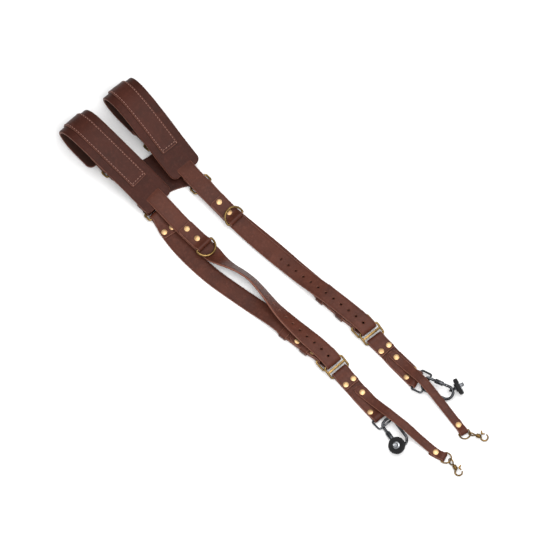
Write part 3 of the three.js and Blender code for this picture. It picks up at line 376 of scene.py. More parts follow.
def section(half_width, half_thick, rounding, crown, across_steps):
    """Outline of a strap's section as (u, w), going round once."""
    rounding = min(rounding, half_thick * 0.98, half_width * 0.98)
    flat = half_width - rounding
    upper = []
    for index in range(across_steps + 1):
        u = mix(flat, -flat, index / across_steps)
        upper.append((u, half_thick + crown * (1 - (u / half_width) ** 2)))
    angles = [math.radians(degrees) for degrees in (20, 45, 70)]
    arc = [(rounding * math.sin(angle), rounding * math.cos(angle)) for angle in angles]
    low = rounding - half_thick
    outline = list(upper)
    outline += [(-flat - part, rest - low) for part, rest in arc]
    outline += [(-half_width, -low), (-half_width, low)]
    outline += [(-flat - rest, low - part) for part, rest in arc]
    outline += [(-u, -half_thick) for u, _ in upper]
    outline += [(flat + part, low - rest) for part, rest in arc]
    outline += [(half_width, low), (half_width, -low)]
    outline += [(flat + rest, part - low) for part, rest in arc]
    return outline


def corner_share(distance, radius, half_width):
    """Half width lost at a distance from a strap's rounded end."""
    if not radius or distance >= radius:
        return half_width
    inward = radius - distance
    return max(0.4, half_width - radius + math.sqrt(max(0, radius * radius - inward * inward)))


def strap(name, stations, material, width, thickness, start_radius=1.2, end_radius=1.2, end_width=None,
          crown=0.0, step=3.0, across_steps=8):
    """A leather strap: a section with rounded edges carried along the stations."""
    end_width = end_width or width
    soft = 0.7
    close = [0.08, 0.25, 0.45, soft]
    extra = []
    lengths = sum((b.centre - a.centre).length for a, b in zip(stations, stations[1:]))
    for radius, far_end in ((start_radius, False), (end_radius, True)):
        marks = close + [radius * (1 - math.cos(math.radians(a))) for a in range(10, 91, 10)]
        extra += [lengths - mark if far_end else mark for mark in marks]
    items, total = resample(stations, step, extra)
    points = []
    rims = []
    rings = []
    for index, item in enumerate(items):
        normal = normal_at(items, index)
        plain = mix(width, end_width, item.mark / total) / 2
        at_start = corner_share(item.mark, start_radius, plain)
        half = min(at_start, corner_share(total - item.mark, end_radius, plain))
        to_end = min(item.mark, total - item.mark)
        lost = soft - math.sqrt(max(0, soft * soft - max(0, soft - to_end) ** 2))
        half_thick = thickness / 2 - lost * 0.8
        ring = []
        for u, w in section(half, half_thick, thickness * 0.42, crown, across_steps):
            wobble = 0.12 * noise.noise(Vector((item.centre.x * 0.05, item.centre.y * 0.05, u * 0.04 + 7)))
            ring.append(len(points))
            points.append(item.centre + item.across * u + normal * (w + wobble * (w > 0)))
            rims.append(min(half - abs(u), to_end))
        rings.append(ring)
    piece = mesh_object(name, points, tube(rings, False), material, rims)
    piece["across_steps"] = across_steps
    return piece


def carve(piece, cutters):
    """Cuts closed shapes out of a piece and removes them."""
    for cutter in cutters:
        modifier = piece.modifiers.new("hole", "BOOLEAN")
        modifier.operation = "DIFFERENCE"
        modifier.solver = "EXACT"
        modifier.object = cutter
    graph = bpy.context.evaluated_depsgraph_get()
    mesh = bpy.data.meshes.new_from_object(piece.evaluated_get(graph))
    piece.modifiers.clear()
    old = piece.data
    piece.data = mesh
    bpy.data.meshes.remove(old)
    for cutter in cutters:
        bpy.data.objects.remove(cutter)
    return piece


def basis(centre, across, normal):
    """A matrix whose Z is the normal and whose Y is the width."""
    ahead = across.cross(normal)
    matrix = Matrix((ahead, across, normal)).transposed().to_4x4()
    matrix.translation = centre
    return matrix


def lathe(name, profile, matrix, material, segments=28, smooth=True):
    """A body of revolution about its own Z from (radius, height) pairs, placed by a matrix."""
    points = []
    rings = []
    for radius, height in profile:
        ring = []
        for spoke in range(segments):
            angle = 2 * math.pi * spoke / segments
            ring.append(len(points))
            points.append(matrix @ Vector((radius * math.cos(angle), radius * math.sin(angle), height)))
        rings.append(ring)
    return mesh_object(name, points, tube(rings, False), material, smooth=smooth)


def post(radius, height, foot, matrix):
    """A plain cutter standing on its own Z."""
    return lathe("cutter", [(radius, foot), (radius, foot + height)], matrix, PAINT["hole"], 20)


def wire(name, path, radius, matrix, material, closed=True, sides=12, radii=None):
    """A round wire along a path of points."""
    points = []
    rings = []
    count = len(path)
    up = Vector((0, 0, 1))
    side = None
    for index, point in enumerate(path):
        before = path[index - 1] if closed or index else point
        after = path[(index + 1) % count] if closed or index < count - 1 else point
        tangent = (after - before).normalized()
        if side is None:
            side = tangent.cross(up)
            if side.length < 0.1:
                side = tangent.cross(Vector((1, 0, 0)))
        side = (side - tangent * side.dot(tangent)).normalized()
        rise = side.cross(tangent)
        ring = []
        for spoke in range(sides):
            angle = 2 * math.pi * spoke / sides
            reach = radii[index] if radii else radius
            ring.append(len(points))
            offset = side * (reach * math.cos(angle)) + rise * (reach * math.sin(angle))
            points.append(matrix @ (point + offset))
        rings.append(ring)
    return mesh_object(name, points, tube(rings, closed), material)


def together(name, *pieces):
    """One object made of several."""
    work = bmesh.new()
    materials = []
    for piece in pieces:
        part = bmesh.new()
        part.from_mesh(piece.data)
        own = piece.data.materials[0]
        if own not in materials:
            materials.append(own)
        for face in part.faces:
            face.material_index = materials.index(own)
        held = bpy.data.meshes.new("held")
        part.to_mesh(held)
        part.free()
        work.from_mesh(held)
        bpy.data.meshes.remove(held)
    mesh = bpy.data.meshes.new(name)
    work.to_mesh(mesh)
    work.free()
    for material in materials:
        mesh.materials.append(material)
    for piece in pieces:
        bpy.data.objects.remove(piece)
    result = bpy.data.objects.new(name, mesh)
    bpy.context.scene.collection.objects.link(result)
    return result


# ---- Materials ---------------------------------------------------------------------------------

def srgb(red, green, blue):
    """A linear colour from 0 to 255 display values."""
    parts = []
    for value in (red, green, blue):
        share = value / 255
        parts.append(share / 12.92 if share <= 0.04045 else ((share + 0.055) / 1.055) ** 2.4)
    return (*parts, 1)


class Shader:
    """A small helper for building one node material."""

    def __init__(self, name):
        self.material = bpy.data.materials.new(name)
        self.material.use_nodes = True
        self.nodes = self.material.node_tree.nodes
        self.links = self.material.node_tree.links
        self.surface = self.nodes["Principled BSDF"]
        self.place = self.nodes.new("ShaderNodeTexCoord").outputs["Object"]

    def add(self, kind, **inputs):
        node = self.nodes.new(kind)
        for name, value in inputs.items():
            self.put(node, name.replace("_", " "), value)
        return node

    def put(self, node, name, value):
        socket = node.inputs[name]
        if isinstance(value, bpy.types.NodeSocket):
            self.links.new(value, socket)
        else:
            socket.default_value = value

    def noise(self, scale, detail=3, rough=0.55, distortion=0.0, stretch=(1, 1, 1)):
        mapping = self.add("ShaderNodeMapping", Vector=self.place)
        mapping.inputs["Scale"].default_value = stretch
        texture = self.add("ShaderNodeTexNoise", Vector=mapping.outputs[0], Scale=scale, Detail=detail,
                           Roughness=rough, Distortion=distortion)
        return texture.outputs["Fac"]

    def cells(self, scale, feature="F1"):
        texture = self.nodes.new("ShaderNodeTexVoronoi")
        texture.feature = feature
        self.put(texture, "Vector", self.place)
        self.put(texture, "Scale", scale)
        return texture.outputs["Distance"]

    def span(self, value, low, high, to_low=0.0, to_high=1.0):
        node = self.nodes.new("ShaderNodeMapRange")
        for name, given in (("Value", value), ("From Min", low), ("From Max", high), ("To Min", to_low),
                            ("To Max", to_high)):
            self.put(node, name, given)
        return node.outputs["Result"]

    def blend(self, share, one, two, mode="MIX"):
        node = self.nodes.new("ShaderNodeMix")
        node.data_type = "RGBA"
        node.blend_type = mode
        node.clamp_result = True
        for name, given in (("Factor", share), ("A", one), ("B", two)):
            socket = [s for s in node.inputs if s.name == name and s.enabled][0]
            if isinstance(given, bpy.types.NodeSocket):
                self.links.new(given, socket)
            else:
                socket.default_value = given
        return [s for s in node.outputs if s.enabled][0]

    def maths(self, operation, one, two):
        node = self.nodes.new("ShaderNodeMath")
        node.operation = operation
        for index, given in enumerate((one, two)):
            if isinstance(given, bpy.types.NodeSocket):
                self.links.new(given, node.inputs[index])
            else:
                node.inputs[index].default_value = given
        return node.outputs[0]

    def bump(self, height, distance, strength=1.0, under=None):
        node = self.add("ShaderNodeBump", Height=height, Distance=distance, Strength=strength)
        if under is not None:
            self.links.new(under, node.inputs["Normal"])
        return node.outputs["Normal"]

    def finish(self, **sockets):
        for name, value in sockets.items():
            self.put(self.surface, name.replace("_", " "), value)
        return self.material


def leather(name, dark, middle, light, edge, rough=(0.4, 0.56), crease=True, edge_width=0.9, shine=0.17):
    """Oiled leather: mottled colour, fine grain, a pressed line inside the edge and a lighter edge, partly
    burnished and partly a painted highlight.
    """
    shader = Shader(name)
    cloud = shader.noise(26, 4, 0.6, 0.4)
    fleck = shader.noise(210, 4, 0.65)
    grain = shader.cells(1050)
    wrinkle = shader.noise(420, 3, 0.6, 0.8)
    rim = shader.nodes.new("ShaderNodeAttribute")
    rim.attribute_name = "rim"
    rim_value = rim.outputs["Fac"]
    colour = shader.blend(shader.span(cloud, 0.36, 0.66), dark, middle)
    colour = shader.blend(shader.span(fleck, 0.5, 0.78, 0, 0.55), colour, light)
    colour = shader.blend(shader.span(grain, 0.0, 0.5, 0.28, 0), colour, dark)
    # The lighter edge colour is partly burnished leather and partly a painted highlight along the rounded
    # edge.
    ragged = shader.maths("ADD", rim_value, shader.span(fleck, 0.3, 0.7, -0.25, 0.25))
    burnished_and_lit_edge = shader.span(ragged, edge_width, edge_width * 0.25, 0, 0.85)
    colour = shader.blend(burnished_and_lit_edge, colour, edge)
    pores = shader.span(grain, 0, 0.5, -0.35, 0)
    height = shader.maths("ADD", pores, shader.span(wrinkle, 0.3, 0.7, 0, 0.55))
    normal = shader.bump(height, 0.00022, 0.75)
    if crease:
        inside = shader.maths("ABSOLUTE", shader.maths("SUBTRACT", rim_value, 2.1), 0)
        normal = shader.bump(shader.span(inside, 0.0, 0.45, -1, 0), 0.0003, 0.6, normal)
        pressed = shader.span(inside, 0.0, 0.4, 0.4, 0)
        colour = shader.blend(pressed, colour, dark)
    worn = shader.maths("ADD", shader.span(cloud, 0.3, 0.7, 0, 0.5), shader.span(grain, 0, 0.5, 0.5, 0))
    roughness = shader.span(worn, 0, 1, rough[0], rough[1])
    return shader.finish(Base_Color=colour, Roughness=roughness, Normal=normal, Specular_IOR_Level=shine)


def metal(name, dark, light, rough, grime=0.35, scratch=0.00004):
    """Worn metal: colour and shine vary, with faint scratches."""
    shader = Shader(name)
    cloud = shader.noise(110, 4, 0.6)
    fine = shader.noise(900, 3, 0.6, 0.0, (1, 0.25, 1))
    spots = shader.noise(340, 4, 0.7)
    colour = shader.blend(shader.span(cloud, 0.35, 0.7), light, dark)
    colour = shader.blend(shader.span(spots, 0.55, 0.8, 0, grime), colour, dark)
    roughness = shader.span(shader.maths("ADD", cloud, fine), 0.7, 1.3, rough[0], rough[1])
    normal = shader.bump(fine, scratch, 0.5)
    return shader.finish(Base_Color=colour, Metallic=1.0, Roughness=roughness, Normal=normal)


def rubber_material():
    shader = Shader("rubber")
    speck = shader.noise(1300, 3, 0.6)
    dust = shader.noise(60, 4, 0.6)
    colour = shader.blend(shader.span(dust, 0.4, 0.75), srgb(12, 12, 13), srgb(24, 23, 24))
    return shader.finish(Base_Color=colour, Specular_IOR_Level=0.25,
                         Roughness=shader.span(dust, 0.3, 0.7, 0.55, 0.75),
                         Normal=shader.bump(speck, 0.00012, 0.7))


def thread_material(name, dark, light):
    """Waxed thread with its twist."""
    shader = Shader(name)
    mapping = shader.add("ShaderNodeMapping", Vector=shader.place)
    mapping.inputs["Rotation"].default_value = (0, 0, 0.8)
    wave = shader.add("ShaderNodeTexWave", Vector=mapping.outputs[0], Scale=900, Distortion=1.0)
    fray = shader.noise(700, 3)
    twist = wave.outputs["Fac"]
    colour = shader.blend(shader.span(fray, 0.35, 0.7), dark, light)
    return shader.finish(Base_Color=colour, Roughness=0.62, Normal=shader.bump(twist, 0.0001, 0.5))


def hole_material():
    """The dark raw inside of a punched hole."""
    shader = Shader("hole")
    fibre = shader.noise(800, 4, 0.7)
    colour = shader.blend(shader.span(fibre, 0.3, 0.7), srgb(34, 18, 13), srgb(58, 34, 26))
    return shader.finish(Base_Color=colour, Roughness=0.9, Normal=shader.bump(fibre, 0.0002, 0.8))


# Each leather's last colour is its lighter edge: partly burnished, partly a painted highlight on the rounded
# edge.
PAINT = {
    "leather": leather(
        "strap_leather", srgb(62, 28, 17), srgb(79, 39, 26), srgb(98, 54, 41), srgb(122, 80, 66)),
    "pad": leather(
        "pad_leather", srgb(50, 22, 14), srgb(62, 29, 21), srgb(78, 41, 32), srgb(108, 70, 58),
        crease=False, shine=0.1),
    "strip": leather(
        "strip_leather", srgb(54, 24, 15), srgb(67, 32, 23), srgb(84, 45, 35), srgb(118, 78, 65),
        crease=False, shine=0.12),
    "lining": leather(
        "lining_leather", srgb(38, 18, 11), srgb(50, 25, 16), srgb(62, 34, 24), srgb(84, 52, 40),
        (0.6, 0.8), False),
    # The yoke's darker colours are partly the tone of its inner side and partly painted shade from lying
    # between the pads.
    "yoke": leather(
        "yoke_leather", srgb(44, 18, 11), srgb(56, 25, 17), srgb(72, 37, 27), srgb(98, 62, 50), shine=0.12),
    "thread": thread_material("stitch_thread", srgb(134, 92, 80), srgb(172, 130, 116)),
    "brass": metal("brass", srgb(78, 60, 32), srgb(146, 118, 74), (0.24, 0.38)),
    "rivet": metal("rivet_brass", srgb(162, 128, 88), srgb(208, 174, 130), (0.36, 0.48), 0.15),
    "antique": metal("antique_brass", srgb(62, 46, 24), srgb(136, 108, 66), (0.28, 0.45), 0.6),
    "steel": metal("gunmetal_steel", srgb(36, 36, 38), srgb(84, 85, 88), (0.2, 0.34), 0.4),
    "bright": metal("bright_steel", srgb(120, 122, 126), srgb(190, 192, 196), (0.16, 0.28), 0.3),
    "rubber": rubber_material(),
    "hole": hole_material(),
}


def settle(piece, body, *nodes):
    """Puts a finished piece on its CAD body, in place of the CAD nodes it stands for."""
    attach(piece, body)
    if nodes:
        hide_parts(*nodes)
    return piece


# ---- Shared details ----------------------------------------------------------------------------

def placed(place, yaw, pitch=0, roll=0):
    """A matrix whose X points along a heading, nose down by a pitch, then rolled about itself."""
    turned = (Matrix.Rotation(math.radians(yaw), 4, "Z") @ Matrix.Rotation(math.radians(pitch), 4, "Y")
              @ Matrix.Rotation(math.radians(roll), 4, "X"))
    return Matrix.Translation(Vector(place)) @ turned


def rivet(name, matrix, cap=CAP_RADIUS, height=CAP_HEIGHT):
    """A low rivet cap with a rolled rim, sitting on the matrix's XY plane."""
    profile = [
        (0.01, -0.6), (cap - 0.7, -0.6), (cap - 0.35, -0.1), (cap - 0.05, 0.02), (cap, 0.2),
        (cap - 0.08, 0.42),
        (cap - 0.35, 0.56), (cap * 0.86, 0.62), (cap * 0.78, 0.66), (cap * 0.64, height * 0.5),
        (cap * 0.46, height * 0.56), (cap * 0.25, height * 0.59), (0.01, height * 0.6),
    ]
    return lathe(name, profile, matrix, PAINT["rivet"], 32)


def rivet_on(name, stations, x, side, lift, upward=True, cap=CAP_RADIUS, height=CAP_HEIGHT):
    """A rivet cap on a strap's face, a little to one side of its middle line."""
    index, centre = nearest(stations, x)
    across = stations[index].across
    normal = normal_at(stations, index)
    if (normal.z < 0) == upward:
        normal = -normal
    return rivet(name, basis(centre + across * side + normal * lift, across, normal), cap, height)


def hole_cutter(stations, x, side, radius):
    index, centre = nearest(stations, x)
    across = stations[index].across
    normal = normal_at(stations, index)
    return post(radius, 9, -4.5, basis(centre + across * side, across, normal))


def stitches(name, path, normals, material, pitch=4.2, length=2.9, thick=0.42):
    """A row of sewn stitches lying along a path of points on a surface."""
    lengths = [0]
    for index in range(1, len(path)):
        lengths.append(lengths[-1] + (path[index] - path[index - 1]).length)

    def at(mark):
        index = 1
        while index < len(lengths) - 1 and lengths[index] < mark:
            index += 1
        share = (mark - lengths[index - 1]) / max(1e-6, lengths[index] - lengths[index - 1])
        normal = normals[index - 1].lerp(normals[index], share).normalized()
        return path[index - 1].lerp(path[index], share), normal

    points = []
    faces = []
    count = int(lengths[-1] // pitch)
    sides = 6
    rising = [(-0.5, 0.25, -0.5), (-0.42, 0.8, -0.12), (-0.2, 1, 0.28)]
    profile = rising + [(-place, size, rise) for place, size, rise in reversed(rising)]
    for number in range(count):
        middle = (number + 0.5) * lengths[-1] / count
        rings = []
        for along, size, rise in profile:
            mark = min(max(middle + along * length, 0), lengths[-1])
            point, normal = at(mark)
            ahead = (at(min(mark + 0.5, lengths[-1]))[0] - at(max(mark - 0.5, 0))[0]).normalized()
            side = normal.cross(ahead).normalized()
            ring = []
            for spoke in range(sides):
                angle = 2 * math.pi * spoke / sides
                ring.append(len(points))
                shift = side * (thick * size * math.cos(angle))
                shift += normal * (thick * (size * math.sin(angle) + rise))
                points.append(point + shift)
            rings.append(ring)
        faces += tube(rings, False)
    return mesh_object(name, points, faces, material)


def ring_path(length, width, corner=2.6, steps=7):
    """A rectangular ring: one end bar on x = 0, the other at x = length."""
    centres = [
        (length - corner, width / 2 - corner, 0), (corner, width / 2 - corner, 90),
        (corner, corner - width / 2, 180), (length - corner, corner - width / 2, 270),
    ]
    points = []
    for x, y, start in centres:
        for step in range(steps + 1):
            angle = math.radians(start + 90 * step / steps)
            points.append(Vector((x + corner * math.cos(angle), y + corner * math.sin(angle), 0)))
    return subdivided(points, 4)


def subdivided(points, longest):
    """A closed path with its long stretches cut up, so that a bent wire stays even."""
    result = []
    for index, point in enumerate(points):
        after = points[(index + 1) % len(points)]
        cuts = max(1, round((after - point).length / longest))
        result += [point.lerp(after, cut / cuts) for cut in range(cuts)]
    return result


def dring_path(width, legs, corner=1.6):
    """A D-ring: a straight bar on x = 0, short legs and a round bow."""
    radius = width / 2
    points = []
    for step in range(5):
        angle = math.radians(90 + 22.5 * step)
        sideways = radius - corner + corner * math.sin(angle)
        points.append(Vector((corner + corner * math.cos(angle), sideways, 0)))
    for step in range(5):
        angle = math.radians(180 + 22.5 * step)
        sideways = corner - radius + corner * math.sin(angle)
        points.append(Vector((corner + corner * math.cos(angle), sideways, 0)))
    for step in range(25):
        angle = math.radians(-90 + 7.5 * step)
        points.append(Vector((legs + radius * math.cos(angle), radius * math.sin(angle), 0)))
    return subdivided(points, 4)


def lower_bar(place, yaw, pitch, length):
    centre = Vector(place) + heading(yaw) * (length * math.cos(math.radians(pitch)))
    centre.z -= length * math.sin(math.radians(pitch))
    return centre


# ---- Leather pieces ----------------------------------------------------------------------------

def line(piece_name, face=None):
    """Marks the flesh side of a strap made by strap() with the darker lining leather."""
    piece = bpy.data.objects[piece_name]
    piece.data.materials.append(face or PAINT["lining"])
    steps = piece["across_steps"]
    count = 2 * (steps + 1) + 16
    low = steps + 1 + 7
    for polygon in piece.data.polygons:
        if len(polygon.vertices) != 4:
            continue
        place = polygon.index % count
        if low <= place < low + steps + 2:
            polygon.material_index = 1
    return piece


def build_pad(half, layout):
    """The folded shoulder pad, the strip sewn along it and the strip's stitches."""
    pad_stations = run(layout["pad"], 4)
    pad = strap(f"{half}_pad", pad_stations, PAINT["pad"], PAD_WIDTH, PAD, 9, 9, crown=0.35, step=4,
                across_steps=16)
    line(pad.name)
    sewn = offset(pad_stations, PAD / 2 + STRAP / 2 - 0.1)
    fold = min(range(len(sewn)), key=lambda index: sewn[index].centre.x)
    strip_end = next(index for index in range(fold, len(sewn)) if sewn[index].centre.x > layout["strip_end"])
    sewn = sewn[:strip_end]
    ring_x, ring_y, _ = layout["upper_ring"]
    bar_x = ring_x - YOKE_RING_LENGTH / 2
    flap_z = YOKE_RING_Z + YOKE_RING_TURN
    flap = run([[bar_x - 26, ring_y + 0.4, flap_z, 0], [bar_x - 2, ring_y, flap_z, 0]])
    bend = turn([bar_x, ring_y, YOKE_RING_Z], 0, YOKE_RING_TURN, 90, -90)
    stations = joined(flap, bend, sewn)
    strip = strap(f"{half}_pad_strip", stations, PAINT["strip"], STRIP_WIDTH, STRAP, 2, 2, crown=0.2, step=4)
    line(strip.name)
    inset = STRIP_WIDTH / 2 - 1.9
    lift = STRAP / 2 + 0.12
    start = next(index for index in range(len(sewn)) if sewn[index].centre.x < bar_x - 6)
    rows = []
    for side in (-1, 1):
        path = [item.centre + item.across * (side * inset) + normal_at(sewn, index) * lift
                for index, item in enumerate(sewn)][start:]
        normals = [normal_at(sewn, index) for index in range(len(sewn))][start:]
        rows.append(stitches(f"{half}_row_{side}", path, normals, PAINT["thread"]))
    for index in (start, len(sewn) - 2):
        item = sewn[index]
        normal = normal_at(sewn, index)
        ends = [item.centre + item.across * (side * inset) + normal * lift for side in (-1, 1)]
        rows.append(stitches(f"{half}_cross_{index}", ends, [normal, normal], PAINT["thread"]))
    thread = together(f"{half}_pad_stitches", *rows)
    settle(pad, "root", f"{half}_shoulder_pad")
    settle(strip, "root")
    settle(thread, "root")
    return pad_stations


def chest_stations(layout, pad_stations):
    """The front strap from its slot in the pad to the slide ring."""
    upper = pad_stations[len(pad_stations) // 2:]
    slot = layout["slot"]

    def on_pad(x, lift):
        index, centre = nearest(upper, x)
        return centre + normal_at(upper, index) * lift

    points = []
    for shift, lift in ((-7, -0.7), (0, 0.7), (5, 2.3)):
        place = on_pad(slot + shift, lift)
        points.append([place.x, place.y, place.z, layout["pad"][-1][3]])
    return run(points + layout["front_run"], 3)


def build_front_strap(half, layout, chest):
    slide_x, slide_y, slide_yaw = layout["slide_ring"]
    buckle_x, buckle_y, _ = layout["buckle"]
    under = SLIDE_Z - RING_TURN
    bend = turn([slide_x, slide_y, SLIDE_Z], slide_yaw, RING_TURN, 90, -90)
    back = [[x, y, TAIL_Z, yaw] for x, y, _, yaw in layout["back_run"][-3:]]
    back[0][0] += 1
    tail = run([
        [slide_x - 1.5, slide_y, under, slide_yaw], [buckle_x + 10.5, buckle_y, under - 1.1, 0],
        [buckle_x + 4, buckle_y, TAIL_Z + 0.7, 0], [buckle_x + 0.5, buckle_y, TAIL_Z + 0.05, 0],
        [buckle_x - 6, buckle_y, TAIL_Z, 0], *reversed(back),
    ])
    stations = joined(chest, bend, tail)
    piece = strap(f"{half}_front", stations, PAINT["leather"], STRAP_WIDTH, STRAP, 1, STRAP_WIDTH / 2 - 0.5,
                  crown=0.15, step=2.5)
    line(piece.name)
    cutters = []
    for number in range(ADJUSTER_COUNT):
        hole_x = layout["first_hole"] + number * ADJUSTER_PITCH
        cutters.append(hole_cutter(chest, hole_x, 0, ADJUSTER_RADIUS))
    cutters.append(hole_cutter(tail, buckle_x + 7.8, 0, 3.1))
    for number in range(1, 3):
        cutters.append(hole_cutter(tail, buckle_x - number * ADJUSTER_PITCH, 0, ADJUSTER_RADIUS))
    carve(piece, cutters)
    settle(piece, "root", f"{half}_front_strap")


def build_dring_tab(half, layout, chest):
    """The riveted tab on the chest with the front D-ring in its fold."""
    fold = layout["dring_fold"]
    radius = RING_WIRE + GAP + THIN / 2
    low = STRAP / 2 + 0.05 + THIN / 2
    start = fold - 39

    def at(x, lift):
        index, centre = nearest(chest, x)
        return centre + normal_at(chest, index) * lift

    bar = at(fold, low + GAP + radius)
    lower = []
    upper = []
    steps = 10
    for step in range(steps + 1):
        x = mix(start, fold - 8, step / steps)
        lower.append(Station(at(x, low), across_for(0)))
        upper.insert(0, Station(at(x, low + THIN + 0.05), across_for(0)))
    rise = run([
        [*at(fold - 8, low), 0], [*at(fold - 4, low + 0.15), 0], [bar.x, bar.y, bar.z - radius, 0],
    ], 1.5)
    fall = run([[bar.x, bar.y, bar.z + radius, 0], [*at(fold - 3.4, low + THIN + 2.1), 0],
                [*at(fold - 8, low + THIN + 0.05), 0]], 1.5)
    nose = turn(bar, 0, radius, -90, 90)
    stations = joined(lower, rise, nose, fall, upper)
    piece = strap(f"{half}_tab", stations, PAINT["leather"], STRAP_WIDTH - 1, THIN, 4, 4, step=1.6)
    settle(piece, "root", f"{half}_dring_tab")
    for number, back in ((1, 33), (2, 13)):
        cap = rivet_on(f"{half}_tab_cap_{number}", chest, fold - back, 0, low + THIN * 1.5 + 0.1)
        settle(cap, "root", f"{half}_tab_rivet_{number}")
    ring = wire(f"{half}_chest_ring", dring_path(DRING_WIDTH, 3), RING_WIRE,
                placed(at(fold, STRAP / 2 + 2 * GAP + THIN + RING_WIRE), 0, layout["dring_rest"]),
                PAINT["brass"])
    settle(ring, f"{half}_front_dring", f"{half}_front_dring")


def build_yoke_rings(half, layout):
    for name in ("upper", "lower"):
        x, y, yaw = layout[f"{name}_ring"]
        shift = Matrix.Translation((-YOKE_RING_LENGTH / 2, 0, 0))
        ring = wire(f"{half}_{name}_ring", ring_path(YOKE_RING_LENGTH, RING_WIDTH), RING_WIRE,
                    placed((x, y, YOKE_RING_Z), yaw) @ shift, PAINT["brass"])
        settle(ring, "root", f"{half}_{name}_yoke_ring")


def build_back_strap(half, layout):
    ring_x, ring_y, _ = layout["lower_ring"]
    bar = ring_x + YOKE_RING_LENGTH / 2
    buckle_x, buckle_y, _ = layout["buckle"]
    pinch = 1.5 * STRAP + GAP
    first_x, first_y, _, first_yaw = layout["back_run"][0]
    near_y = ring_y + (first_y - ring_y) * 0.35
    flap = run([
        [first_x + 8, first_y + 8 * math.sin(math.radians(first_yaw)), pinch, first_yaw],
        [first_x - 2, first_y, pinch, first_yaw], [bar + 12, near_y, pinch + 0.9, first_yaw * 0.5],
        [bar + 4, ring_y, YOKE_RING_Z + YOKE_RING_TURN - 0.9, 0],
        [bar + 0.5, ring_y, YOKE_RING_Z + YOKE_RING_TURN, 0],
    ])
    loop = turn([bar, ring_y, YOKE_RING_Z], 0, YOKE_RING_TURN, 90, 270)
    main = run([
        [bar + 2, ring_y, STRAP / 2, 0], [bar + 12, near_y, STRAP / 2, first_yaw * 0.5], *layout["back_run"],
        [buckle_x - 8, buckle_y, BACK_Z, 0], [buckle_x - 0.5, buckle_y, BACK_Z, 0],
    ])
    pivot = turn([buckle_x, buckle_y, PIVOT_Z], 0, PIVOT_TURN, -90, 90)
    next_x, next_y, _, next_yaw = layout["back_run"][-1]
    last_x, last_y = layout["back_run"][-2][:2]
    tip_y = mix(last_y, next_y, (CHAPE_TIP_X - last_x) / (next_x - last_x))
    chape = run([
        [buckle_x - 1, buckle_y, PIVOT_Z + PIVOT_TURN, 0], [buckle_x - 6, buckle_y, CHAPE_Z + 2, 0],
        [buckle_x - 12, buckle_y + (next_y - buckle_y) * 0.3, CHAPE_Z, next_yaw * 0.5],
        [next_x, next_y, CHAPE_Z, next_yaw], [CHAPE_TIP_X, tip_y, CHAPE_Z, next_yaw],
    ])
    stations = joined(flap, loop, main, pivot, chape)
    piece = strap(f"{half}_back", stations, PAINT["leather"], STRAP_WIDTH, STRAP, 3, STRAP_WIDTH / 2 - 0.5,
                  crown=0.15, step=2.5)
    slot = bpy.data.objects.new("slot", bpy.data.meshes.new("slot"))
    bpy.context.scene.collection.objects.link(slot)
    work = bmesh.new()
    bmesh.ops.create_cube(work, size=1)
    middle = to_row(Vector((buckle_x + 1.5, buckle_y, PIVOT_Z - 0.6)))
    size = Vector((0.015, 0.005, 0.014))
    bmesh.ops.transform(work, matrix=Matrix.LocRotScale(middle, None, size), verts=work.verts)
    work.to_mesh(slot.data)
    work.free()
    carve(piece, [slot])
    settle(piece, "root", f"{half}_back_strap")
    for number, side in ((1, -6.5), (2, 6.5)):
        cap = rivet_on(f"{half}_back_cap_{number}", flap, first_x, side, STRAP / 2 + 0.05)
        settle(cap, "root")
    for number, (x, side) in enumerate(((79, -6.5), (79, 6.5), (106, -6.5), (106, 6.5))):
        cap = rivet_on(f"{half}_chape_cap_{number + 1}", chape, x, side, STRAP / 2 + 0.05, height=1.5)
        settle(cap, "root")


def build_keeper(half, name, body, top, layout):
    """A leather loop with rounded corners, its ends meeting under the straps."""
    x, y, yaw = layout[name]
    reach = STRAP_WIDTH / 2 + 0.7 + KEEPER / 2
    low = KEEPER / 2
    high = top + KEEPER / 2
    corner = 1.6
    outline = [(0.05, low), (reach - corner, low)]
    for cy, cz, start in ((reach - corner, low + corner, -90), (reach - corner, high - corner, 0),
                          (corner - reach, high - corner, 90), (corner - reach, low + corner, 180)):
        for step in range(6):
            angle = math.radians(start + 18 * step)
            outline.append((cy + corner * math.cos(angle), cz + corner * math.sin(angle)))
    outline += [(corner - reach, low), (-0.05, low)]
    matrix = placed((x, y, 0), yaw)
    stations = [Station(matrix @ Vector((0, cy, cz)), -heading(yaw)) for cy, cz in outline]
    piece = strap(f"{half}_{name}_loop", joined(stations), PAINT["leather"], 12, KEEPER, 0.3, 0.3,
                  step=1.5, across_steps=6)
    settle(piece, body, f"{half}_{name}")


